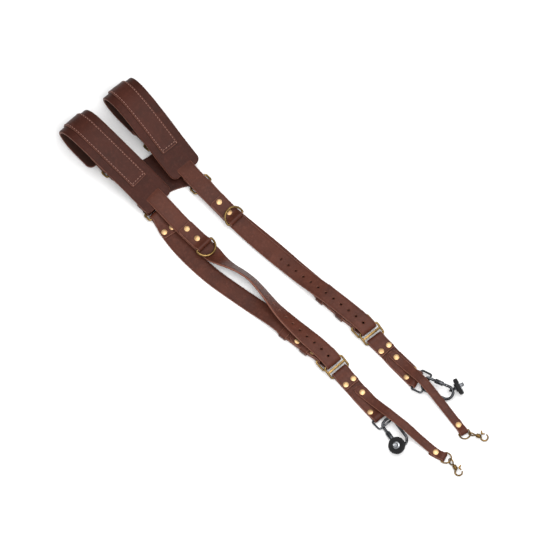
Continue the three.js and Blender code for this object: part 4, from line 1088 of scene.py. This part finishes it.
def build_camera_tab(half, layout):
    """The camera tab folded round two rings, and its rivets."""
    body = f"{half}_camera_tab"
    slide_x, slide_y, slide_yaw = layout["slide_ring"]
    start = lower_bar((slide_x, slide_y, SLIDE_Z), slide_yaw, SLIDE_PITCH, SLIDE_LENGTH)
    end_x, end_y, end_yaw = layout["camera_ring"]

    def along(point, z):
        share, aside, yaw = point
        return [mix(start.x, end_x, share), mix(start.y, end_y, share) + aside, z, yaw]

    first, second, third = layout["tab_run"]
    upper = run([
        [start.x + 26, mix(start.y, end_y, 0.3), TAB_FLAP_Z, first[2]],
        [start.x + 12, mix(start.y, end_y, 0.14), TAB_FLAP_Z, slide_yaw],
        [start.x + 5, start.y - 0.3, TAB_BAR_Z + RING_TURN - 1.4, slide_yaw],
        [start.x + 0.8, start.y, TAB_BAR_Z + RING_TURN - 0.05, slide_yaw],
    ])
    first_bend = turn([start.x, start.y, TAB_BAR_Z], slide_yaw, RING_TURN, 90, 270)
    ahead = heading(end_yaw)
    main = run([
        [start.x + 3, start.y, CAMERA_TAB_Z, slide_yaw],
        *[along(point, CAMERA_TAB_Z) for point in layout["tab_run"]],
        [end_x - 4 * ahead.x, end_y - 4 * ahead.y, CAMERA_TAB_Z, end_yaw],
    ])
    second_bend = turn([end_x, end_y, TAB_BAR_Z], end_yaw, RING_TURN, -90, 90)
    tip_x = layout["safety_run"][0][0] - 1.5
    tip_share = (tip_x - start.x) / (end_x - start.x)
    lower = run([
        [end_x - 2 * ahead.x, end_y - 2 * ahead.y, TAB_BAR_Z + RING_TURN - 0.4, end_yaw],
        [end_x - 6.5 * ahead.x, end_y - 6.5 * ahead.y, TAB_FLAP_Z + 1.3, end_yaw],
        along((0.87, third[1] * 0.5, third[2]), TAB_FLAP_Z), along(second, TAB_FLAP_Z),
        along((tip_share, 0, first[2]), TAB_FLAP_Z),
    ])
    stations = joined(upper, first_bend, main, second_bend, lower)
    piece = strap(f"{half}_tab_strap", stations, PAINT["leather"], STRAP_WIDTH, STRAP,
                  2.5, STRAP_WIDTH / 2 - 0.5,
                  crown=0.15, step=2.5)
    settle(piece, body, f"{half}_camera_tab")
    pair_x = start.x + 19.5
    for number, side in ((1, 7), (2, -7)):
        cap = rivet_on(f"{half}_camera_tab_cap_{number}", upper, pair_x, side, STRAP / 2 + 0.05)
        settle(cap, body, f"{half}_camera_tab_rivet_{number}")
    for number, side in ((3, 7.6), (4, -7.6)):
        cap = rivet_on(f"{half}_camera_tab_cap_{number}", lower, end_x - 12, side, STRAP / 2 + 0.05)
        settle(cap, body)


def build_safety_strap(half, layout):
    body = f"{half}_camera_tab"
    ring_x, ring_y, ring_yaw = layout["safety_ring"]
    flap_z = SAFETY / 2 + LIFT
    ahead = heading(ring_yaw)
    upper = run([
        *layout["safety_run"],
        [ring_x - 4 * ahead.x, ring_y - 4 * ahead.y, SAFETY_BAR_Z + SAFETY_TURN - 0.6, ring_yaw],
        [ring_x - 1.2 * ahead.x, ring_y - 1.2 * ahead.y, SAFETY_BAR_Z + SAFETY_TURN - 0.05, ring_yaw],
    ])
    nose = turn([ring_x, ring_y, SAFETY_BAR_Z], ring_yaw, SAFETY_TURN, 90, -90)
    flap = run([
        [ring_x - 2 * ahead.x, ring_y - 2 * ahead.y, flap_z, ring_yaw],
        [ring_x - 12 * ahead.x, ring_y - 12 * ahead.y, flap_z, ring_yaw],
        [ring_x - 21 * ahead.x, ring_y - 19 * ahead.y, flap_z, layout["safety_run"][-1][3]],
    ])
    piece = strap(f"{half}_safety", joined(upper, nose, flap), PAINT["leather"], SAFETY_WIDTH, SAFETY,
                  SAFETY_WIDTH / 2 - 0.3, 2, SAFETY_WIDTH - 1, crown=0.12, step=2)
    settle(piece, body, f"{half}_safety_strap")
    first = rivet_on(f"{half}_safety_cap", upper, layout["safety_run"][1][0], 0, SAFETY / 2 + 0.05)
    settle(first, body, f"{half}_safety_rivet")
    last = rivet_on(f"{half}_safety_end_cap", upper, layout["safety_run"][-1][0] - 4, 0, SAFETY / 2 + 0.05)
    settle(last, body, f"{half}_safety_end_rivet")
    ring = wire(f"{half}_safety_ring", dring_path(SAFETY_RING_WIDTH, SAFETY_RING_LEGS, 1.2), SMALL_WIRE,
                placed((ring_x, ring_y, SAFETY_BAR_Z), ring_yaw, layout["safety_ring_pitch"]),
                PAINT["antique"])
    settle(ring, f"{half}_safety_dring", f"{half}_safety_dring")


def build_yoke():
    """The yoke leather, its four folded lugs and their rivets."""
    near, far = LAYOUTS["near"], LAYOUTS["far"]
    half_lug = STRAP_WIDTH / 2
    inset = 5

    def edge_x(ring, side):
        return ring[0] + side * (YOKE_RING_LENGTH / 2 + inset)

    corners = [
        (near["upper_ring"], 1, -half_lug, None), (near["lower_ring"], -1, -half_lug, (-240, -48)),
        (near["lower_ring"], -1, half_lug, None), (far["lower_ring"], -1, -half_lug, (-206, -8)),
        (far["lower_ring"], -1, half_lug, None), (far["upper_ring"], 1, half_lug, (-226, 29)),
        (far["upper_ring"], 1, -half_lug, None), (near["upper_ring"], 1, half_lug, (-262, -6)),
    ]
    outline = []
    places = [(edge_x(ring, side), ring[1] + shift) for ring, side, shift, _ in corners]
    for index, (x, y) in enumerate(places):
        bend = corners[index][3]
        before = places[index - 1]
        steps = 16 if bend else 6
        for step in range(1, steps + 1):
            share = step / steps
            if bend:
                px = (1 - share) ** 2 * before[0] + 2 * share * (1 - share) * bend[0] + share * share * x
                py = (1 - share) ** 2 * before[1] + 2 * share * (1 - share) * bend[1] + share * share * y
            else:
                px, py = mix(before[0], x, share), mix(before[1], y, share)
            outline.append(Vector((px, py, 0)))
    points = []
    rims = []
    rings = []
    levels = [(2.8, 0.01, 2.8), (1.6, 0.01, 1.6), (0.5, 0.05, 0.5), (0, 0.6, 0), (0, YOKE - 0.6, 0),
              (0.5, YOKE - 0.05, 0.5), (1.6, YOKE, 1.6), (2.8, YOKE, 2.8)]
    for inward, height, rim in levels:
        ring = []
        for index, point in enumerate(outline):
            along = (outline[(index + 1) % len(outline)] - outline[index - 1]).normalized()
            ring.append(len(points))
            points.append(point + Vector((-along.y, along.x, 0)) * inward + Vector((0, 0, height)))
            rims.append(rim)
        rings.append(ring)
    sheet = mesh_object("yoke_sheet", points, tube(rings, False), PAINT["yoke"], rims)
    settle(sheet, "root", "yoke")
    radius = YOKE_RING_Z - YOKE / 2
    number = 0
    for layout in (near, far):
        for name, away in (("upper", 1), ("lower", -1)):
            number += 1
            ring_x, ring_y, _ = layout[f"{name}_ring"]
            bar_x = ring_x + away * YOKE_RING_LENGTH / 2
            back = run([
                [bar_x + away * 19, ring_y, YOKE * 1.5 + GAP, 0],
                [bar_x + away * 10, ring_y, YOKE * 1.5 + 0.6, 0],
                [bar_x + away * 5, ring_y, YOKE_RING_Z + radius - 1.2, 0],
                [bar_x + away, ring_y, YOKE_RING_Z + radius - 0.05, 0],
            ])
            bend = turn([bar_x, ring_y, YOKE_RING_Z], 0, radius, 90, 270 if away > 0 else -90)
            foot = run([[bar_x + away, ring_y, YOKE / 2, 0], [bar_x + away * 5.4, ring_y, YOKE / 2, 0]])
            lug = strap(f"yoke_lug_{number}", joined(back, bend, foot), PAINT["yoke"], STRAP_WIDTH, YOKE,
                        3, 1, step=1.5)
            settle(lug, "root")
            for side in (-6.5, 6.5):
                hand = "left" if side < 0 else "right"
                cap = rivet_on(f"yoke_cap_{number}_{hand}", back, bar_x + away * 14, side, YOKE / 2 + 0.05)
                settle(cap, "root")


# ---- Metal and rubber pieces -------------------------------------------------------------------

def build_buckle(half, layout):
    x, y, yaw = layout["buckle"]
    outer_z = SLIDE_Z - RING_TURN - STRAP / 2 - GAP - 0.15 - FRAME_WIRE
    pitch = math.degrees(math.asin((PIVOT_Z - outer_z) / BUCKLE_LENGTH))
    frame_piece = wire(f"{half}_buckle", ring_path(BUCKLE_LENGTH, RING_WIDTH), FRAME_WIRE,
                       placed((x, y, PIVOT_Z), yaw, pitch), PAINT["brass"])
    settle(frame_piece, "root", f"{half}_buckle_frame")
    knots = run([
        [x + 0.4, y, PIVOT_Z - 3.1, 0], [x + 3.6, y, PIVOT_Z - 1.9, 0], [x + 6.6, y, PIVOT_Z - 3.2, 0],
        [x + 8.6, y, PIVOT_Z - 5.4, 0], [x + 11.5, y, PIVOT_Z - 7.8, 0], [x + 17.4, y, PIVOT_Z - 8.45, 0],
    ], 0.8)
    path = [item.centre for item in knots]
    radii = [1.0 - 0.25 * index / len(path) for index in range(len(path))]
    prong = wire("prong", path, 1, Matrix(), PAINT["brass"], closed=False, radii=radii)
    eye = wire("eye", circle_path(FRAME_WIRE + GAP + 0.8), 0.8,
               Matrix.Translation((x, y, PIVOT_Z)) @ Matrix.Rotation(math.pi / 2, 4, "X"), PAINT["brass"])
    settle(together(f"{half}_tongue", prong, eye), "root", f"{half}_buckle_tongue")


def circle_path(radius, steps=32):
    angles = (2 * math.pi * step / steps for step in range(steps))
    return [Vector((radius * math.cos(angle), radius * math.sin(angle), 0)) for angle in angles]


def block(name, low, high, matrix, material, bevel=0.4):
    """A box with softened edges, given by two opposite corners."""
    mesh = bpy.data.meshes.new(name)
    work = bmesh.new()
    bmesh.ops.create_cube(work, size=1)
    size = Vector(high) - Vector(low)
    middle = (Vector(high) + Vector(low)) / 2
    bmesh.ops.transform(work, matrix=Matrix.LocRotScale(middle, None, size), verts=work.verts)
    bmesh.ops.bevel(work, geom=list(work.edges), offset=bevel, segments=3, affect="EDGES", profile=0.5)
    for vertex in work.verts:
        vertex.co = to_row(matrix @ vertex.co)
    bmesh.ops.recalc_face_normals(work, faces=work.faces)
    work.to_mesh(mesh)
    work.free()
    mesh.materials.append(material)
    mesh.shade_smooth()
    mesh.set_sharp_from_angle(angle=math.radians(40))
    piece = bpy.data.objects.new(name, mesh)
    bpy.context.scene.collection.objects.link(piece)
    return piece


def build_slide_ring(half, layout):
    x, y, yaw = layout["slide_ring"]
    matrix = placed((x, y, SLIDE_Z), yaw, SLIDE_PITCH)
    loop = wire("loop", ring_path(SLIDE_LENGTH, RING_WIDTH), RING_WIRE, matrix, PAINT["brass"])
    middle = SLIDE_LENGTH / 2
    bar = block("bar", (middle - 1.7, -RING_WIDTH / 2, -1), (middle + 1.7, RING_WIDTH / 2, 1), matrix,
                PAINT["brass"])
    settle(together(f"{half}_slider", loop, bar), f"{half}_slide_ring", f"{half}_slide_ring")


def build_camera_ring(half, layout):
    x, y, yaw = layout["camera_ring"]
    matrix = placed((x, y, TAB_BAR_Z), yaw, layout["camera_ring_pitch"])
    loop = wire(f"{half}_camera_loop", ring_path(CAMERA_RING_LENGTH, RING_WIDTH), FRAME_WIRE, matrix,
                PAINT["steel"])
    settle(loop, f"{half}_camera_ring", f"{half}_camera_ring")


def carabiner_path():
    """A flat bow round the camera ring's bar and a round far end, going round once."""
    points = []
    for step in range(25):
        angle = math.radians(90 + 180 * step / 24)
        points.append(Vector((5.4 * math.cos(angle), CARABINER_RADIUS * math.sin(angle), 0)))
    for step in range(25):
        angle = math.radians(-90 + 180 * step / 24)
        points.append(Vector((CARABINER_REACH + CARABINER_RADIUS * math.cos(angle),
                              CARABINER_RADIUS * math.sin(angle), 0)))
    return subdivided(points, 3)


def build_carabiner(half, layout):
    """The oval carabiner with its gate hinge, and the screw sleeve on its gate leg."""
    x, y, yaw = layout["camera_ring"]
    bar = lower_bar((x, y, TAB_BAR_Z), yaw, layout["camera_ring_pitch"], CAMERA_RING_LENGTH)
    matrix = placed(bar, layout["carabiner_yaw"], CARABINER_PITCH, CARABINER_ROLL)
    leg = CARABINER_RADIUS * layout["sign"]
    along = Matrix.Rotation(math.pi / 2, 4, "Y")

    def on_leg(place):
        return matrix @ Matrix.Translation((place, leg, 0)) @ along

    body = wire("body", carabiner_path(), CARABINER_WIRE, matrix, PAINT["steel"], sides=18)
    collar = lathe("collar", [
        (CARABINER_WIRE - 0.4, 0), (CARABINER_WIRE + 0.05, 0), (CARABINER_WIRE + 0.12, 0.2),
        (CARABINER_WIRE + 0.12, 3.3), (CARABINER_WIRE + 0.05, 3.5), (CARABINER_WIRE - 0.4, 3.5),
    ], on_leg(25.4), PAINT["steel"], 24)
    reach = CARABINER_WIRE + 0.18
    pin = lathe("pin", [
        (0.01, -reach), (0.7, -reach), (0.8, 0.1 - reach), (0.8, reach - 0.1), (0.7, reach), (0.01, reach),
    ], matrix @ Matrix.Translation((27.2, leg, 0)), PAINT["bright"], 16)
    settle(together(f"{half}_clip", body, collar, pin), f"{half}_carabiner", f"{half}_carabiner")
    bore = CARABINER_WIRE + 0.3
    wall = CARABINER_WIRE + 1.4
    profile = [(bore, 0.3), (bore + 0.3, 0), (wall - 0.3, 0), (wall, 0.3)]
    for ridge in range(10):
        foot = 0.9 + ridge * 0.62
        profile += [(wall, foot), (wall - 0.3, foot + 0.2), (wall - 0.3, foot + 0.34), (wall, foot + 0.5)]
    profile += [(wall, 7.4), (wall - 0.25, 7.7), (wall - 0.25, 11.4)]
    profile += [(wall - 0.5, 12), (bore + 0.2, 12), (bore, 11.8)]
    settle(turned(f"{half}_sleeve", profile, on_leg(10), PAINT["steel"], 36), f"{half}_carabiner_sleeve",
           f"{half}_carabiner_sleeve")
    return matrix


def turned(name, profile, matrix, material, segments=28):
    """A body of revolution with a bore: the profile closes on itself."""
    points = []
    rings = []
    for radius, height in profile:
        ring = []
        for spoke in range(segments):
            angle = 2 * math.pi * spoke / segments
            ring.append(len(points))
            points.append(matrix @ Vector((radius * math.cos(angle), radius * math.sin(angle), height)))
        rings.append(ring)
    piece = mesh_object(name, points, tube(rings, True), material)
    piece.data.set_sharp_from_angle(angle=math.radians(38))
    return piece


def build_camera_screw(half, layout, carabiner):
    """The swivel eye with its plate, and the rubber disc with its threaded stud."""
    angle = math.radians(layout["screw_angle"])
    on_wire = carabiner @ Vector((CARABINER_REACH + CARABINER_RADIUS * math.cos(angle),
                                  CARABINER_RADIUS * math.sin(angle), 0))
    if layout["screw_place"]:
        yaw, tilt = layout["screw_place"]
        matrix = placed(on_wire, yaw, tilt)
        eye_turn = 0
    else:
        matrix = placed(on_wire, layout["carabiner_yaw"], CARABINER_PITCH, CARABINER_ROLL)
        eye_turn = angle
    eye_wire = 1.2
    eye_radius = CARABINER_WIRE + 0.8 + eye_wire
    foot = eye_radius + 0.4
    eye_matrix = matrix @ Matrix.Rotation(eye_turn, 4, "Z") @ Matrix.Rotation(math.pi / 2, 4, "X")
    eye = wire("eye", circle_path(eye_radius), eye_wire, eye_matrix, PAINT["steel"])
    plate = lathe("plate", [
        (0.01, foot - 0.9), (2.6, foot - 0.9), (2.6, foot), (5.6, foot), (6, foot + 0.4), (6, foot + 1.2),
        (5.6, foot + 1.6), (2.2, foot + 1.6), (2.2, foot + 0.6), (0.01, foot + 0.6),
    ], matrix, PAINT["steel"], 36)
    settle(together(f"{half}_swivel_eye", eye, plate), f"{half}_screw_eye", f"{half}_screw_eye")
    base = foot + 1.6 + GAP
    top = base + DISC_HEIGHT
    edge = DISC_RADIUS
    disc = lathe("disc", [
        (0.01, base - 0.9), (1.8, base - 0.9), (1.8, base), (edge - 1.6, base), (edge - 0.7, base + 0.3),
        (edge - 0.15, base + 1), (edge, base + 1.8), (edge, top - 0.9), (edge - 0.15, top - 0.35),
        (edge - 0.6, top - 0.03), (edge - 1.2, top), (edge - 2.4, top - 0.25), (edge - 3, top - 0.4),
        (STUD_RADIUS + 2.4, top - 0.4), (STUD_RADIUS + 2.2, top - 0.5), (0.01, top - 0.5),
    ], matrix, PAINT["rubber"], 56)
    washer = lathe("washer", [
        (0.01, top - 0.6), (STUD_RADIUS + 2, top - 0.6), (STUD_RADIUS + 2, top - 0.2),
        (STUD_RADIUS + 1.7, top - 0.05), (0.01, top - 0.05),
    ], matrix, PAINT["bright"], 36)
    core = STUD_RADIUS - 0.55
    thread_pitch = 1.27
    profile = [(0.01, top - 0.2), (core, top - 0.2)]
    for number in range(4):
        start = top + 0.1 + number * thread_pitch
        profile += [(core, start), (STUD_RADIUS, start + 0.45)]
        profile += [(STUD_RADIUS, start + 0.65), (core, start + 1.1)]
    tip = top + STUD_LENGTH
    profile += [(core, tip - 0.25), (core - 0.3, tip), (0.9, tip), (0.8, tip - 0.35), (0.01, tip - 0.35)]
    stud = lathe("stud", profile, matrix, PAINT["bright"], 36)
    settle(together(f"{half}_mount_screw", disc, washer, stud), f"{half}_camera_screw",
           f"{half}_camera_screw")


def build_snap_hook(half, layout):
    """The swivel eye on the small D-ring, the hook body and its sprung trigger."""
    ring_x, ring_y, ring_yaw = layout["safety_ring"]
    angle = math.radians(layout["hook_angle"])
    on_ring = Vector((SAFETY_RING_LEGS + SAFETY_RING_WIDTH / 2 * math.cos(angle),
                      SAFETY_RING_WIDTH / 2 * math.sin(angle), 0))
    place = placed((ring_x, ring_y, SAFETY_BAR_Z), ring_yaw, layout["safety_ring_pitch"]) @ on_ring
    eye_radius = 4.4
    shift = 1.7
    eye_matrix = placed(place, layout["hook_yaw"], 0, layout["eye_roll"])
    along = Matrix.Rotation(math.pi / 2, 4, "Y")
    eye = wire("eye", circle_path(eye_radius), SMALL_WIRE, eye_matrix @ Matrix.Translation((shift, 0, 0)),
               PAINT["antique"])
    stem = lathe("stem", [(0.01, 0), (1.5, 0), (1.5, 5.7), (1.2, 6), (0.01, 6)],
                 eye_matrix @ Matrix.Translation((shift + eye_radius + 0.4, 0, 0)) @ along,
                 PAINT["antique"], 20)
    settle(together(f"{half}_hook_loop", eye, stem), f"{half}_hook_eye", f"{half}_hook_eye")
    matrix = placed(place, layout["hook_yaw"])
    start = shift + eye_radius + 2.4
    barrel = turned("barrel", [
        (1.85, 0.2), (2.1, 0), (2.9, 0), (3.1, 0.25), (3.1, 0.9), (2.75, 1.2), (2.75, 1.5), (3.1, 1.8),
        (3.1, 4.6),
        (2.9, 5.2), (2.2, 6.8), (1.6, 7.2), (0.01, 7.2), (0.01, 4.4), (1.85, 4.4),
    ], matrix @ Matrix.Translation((start, 0, 0)) @ along, PAINT["antique"], 28)
    bow_radius = 5
    bow_x = start + 6.6 + bow_radius
    path = []
    radii = []
    for step in range(41):
        share = step / 40
        degrees = mix(-178, 72, share)
        turned_to = math.radians(degrees)
        path.append(Vector((bow_x + bow_radius * math.cos(turned_to), bow_radius * math.sin(turned_to), 0)))
        radii.append(1.35 - 0.3 * share * share)
    bow = wire("bow", path, 1.3, matrix, PAINT["antique"], closed=False, radii=radii, sides=14)
    settle(together(f"{half}_snap", barrel, bow), f"{half}_hook_body", f"{half}_hook_body")
    outline = [(-1.2, 3.5), (0.4, 3), (4.6, 4.2), (4.4, 5.7), (1, 4.9), (-0.4, 8.6), (-2.4, 8.4)]
    levels = ((-0.9, 0.25), (-0.65, 0), (0.65, 0), (0.9, 0.25))
    centre = sum((Vector((px, py, 0)) for px, py in outline), Vector()) / len(outline)
    points = []
    rings = []
    for height, inward in levels:
        ring = []
        for px, py in outline:
            corner = Vector((px, py, 0))
            ring.append(len(points))
            corner += (centre - corner).normalized() * inward
            points.append(matrix @ Vector((bow_x - bow_radius + corner.x, corner.y, height)))
        rings.append(ring)
    trigger = mesh_object(f"{half}_trigger", points, tube(rings, False), PAINT["antique"])
    trigger.data.set_sharp_from_angle(angle=math.radians(35))
    settle(trigger, f"{half}_hook_trigger", f"{half}_hook_trigger")


# ---- Assembly ----------------------------------------------------------------------------------

for half, layout in LAYOUTS.items():
    pad_stations = build_pad(half, layout)
    chest = chest_stations(layout, pad_stations)
    build_front_strap(half, layout, chest)
    build_dring_tab(half, layout, chest)
    build_yoke_rings(half, layout)
    build_back_strap(half, layout)
    build_keeper(half, "upper_keeper", f"{half}_upper_keeper", BACK_Z + STRAP / 2 + GAP, layout)
    build_keeper(half, "lower_keeper", "root", CHAPE_Z + STRAP / 2 + GAP, layout)
    build_buckle(half, layout)
    build_slide_ring(half, layout)
    build_camera_tab(half, layout)
    build_camera_ring(half, layout)
    build_safety_strap(half, layout)
    build_camera_screw(half, layout, build_carabiner(half, layout))
    build_snap_hook(half, layout)
build_yoke()

# ---- Stage, light and camera -------------------------------------------------------------------

scene = bpy.context.scene
scene.view_settings.view_transform = "Standard"

floor_shader = Shader("paper_floor")
paper = floor_shader.noise(40, 3)
floor_material = floor_shader.finish(
    Base_Color=floor_shader.blend(
        floor_shader.span(paper, 0.4, 0.6), (0.93, 0.93, 0.93, 1), (0.95, 0.95, 0.95, 1)),
    Roughness=0.85)
bpy.ops.mesh.primitive_plane_add(size=8, location=(0, 0, 0))
floor = bpy.context.object
floor.name = "floor"
floor.data.materials.append(floor_material)

world = bpy.data.worlds.new("studio")
scene.world = world
world.use_nodes = True
background = world.node_tree.nodes["Background"]
background.inputs["Color"].default_value = (1, 1, 1, 1)

# The studio is brightest overhead and darker towards the horizon, as a soft tent over a table is.
direction = world.node_tree.nodes.new("ShaderNodeTexCoord")
upward = world.node_tree.nodes.new("ShaderNodeSeparateXYZ")
fade = world.node_tree.nodes.new("ShaderNodeMapRange")
fade.inputs["From Min"].default_value = 0.05
fade.inputs["From Max"].default_value = 0.75
fade.inputs["To Min"].default_value = 0.18
fade.inputs["To Max"].default_value = 1.0
world.node_tree.links.new(direction.outputs["Generated"], upward.inputs[0])
world.node_tree.links.new(upward.outputs["Z"], fade.inputs["Value"])
world.node_tree.links.new(fade.outputs["Result"], background.inputs["Strength"])


def softbox(name, place, size, power, target=(0, 0, 0)):
    light = bpy.data.lights.new(name, "AREA")
    light.shape = "RECTANGLE"
    light.size, light.size_y = size
    light.energy = power
    lamp = bpy.data.objects.new(name, light)
    lamp.location = place
    lamp.rotation_euler = (Vector(target) - Vector(place)).to_track_quat("-Z", "Y").to_euler()
    scene.collection.objects.link(lamp)
    return lamp


softbox("overhead", (0.25, 0.1, 1.5), (1.6, 1.2), 20)
softbox("side_fill", (1.5, -0.6, 0.9), (0.8, 0.8), 8)

camera_data = bpy.data.cameras.new("camera")
camera_data.lens = 1000
camera_data.sensor_width = 36
camera = bpy.data.objects.new("camera", camera_data)
target = Vector((-17.19, 3.55, 0)) * MM
towards = Vector((0.2418, -0.2418, 0.9397)).normalized()
camera.location = target + towards * 21.235
camera.rotation_euler = (-towards).to_track_quat("-Z", "Y").to_euler()
scene.collection.objects.link(camera)
scene.camera = camera
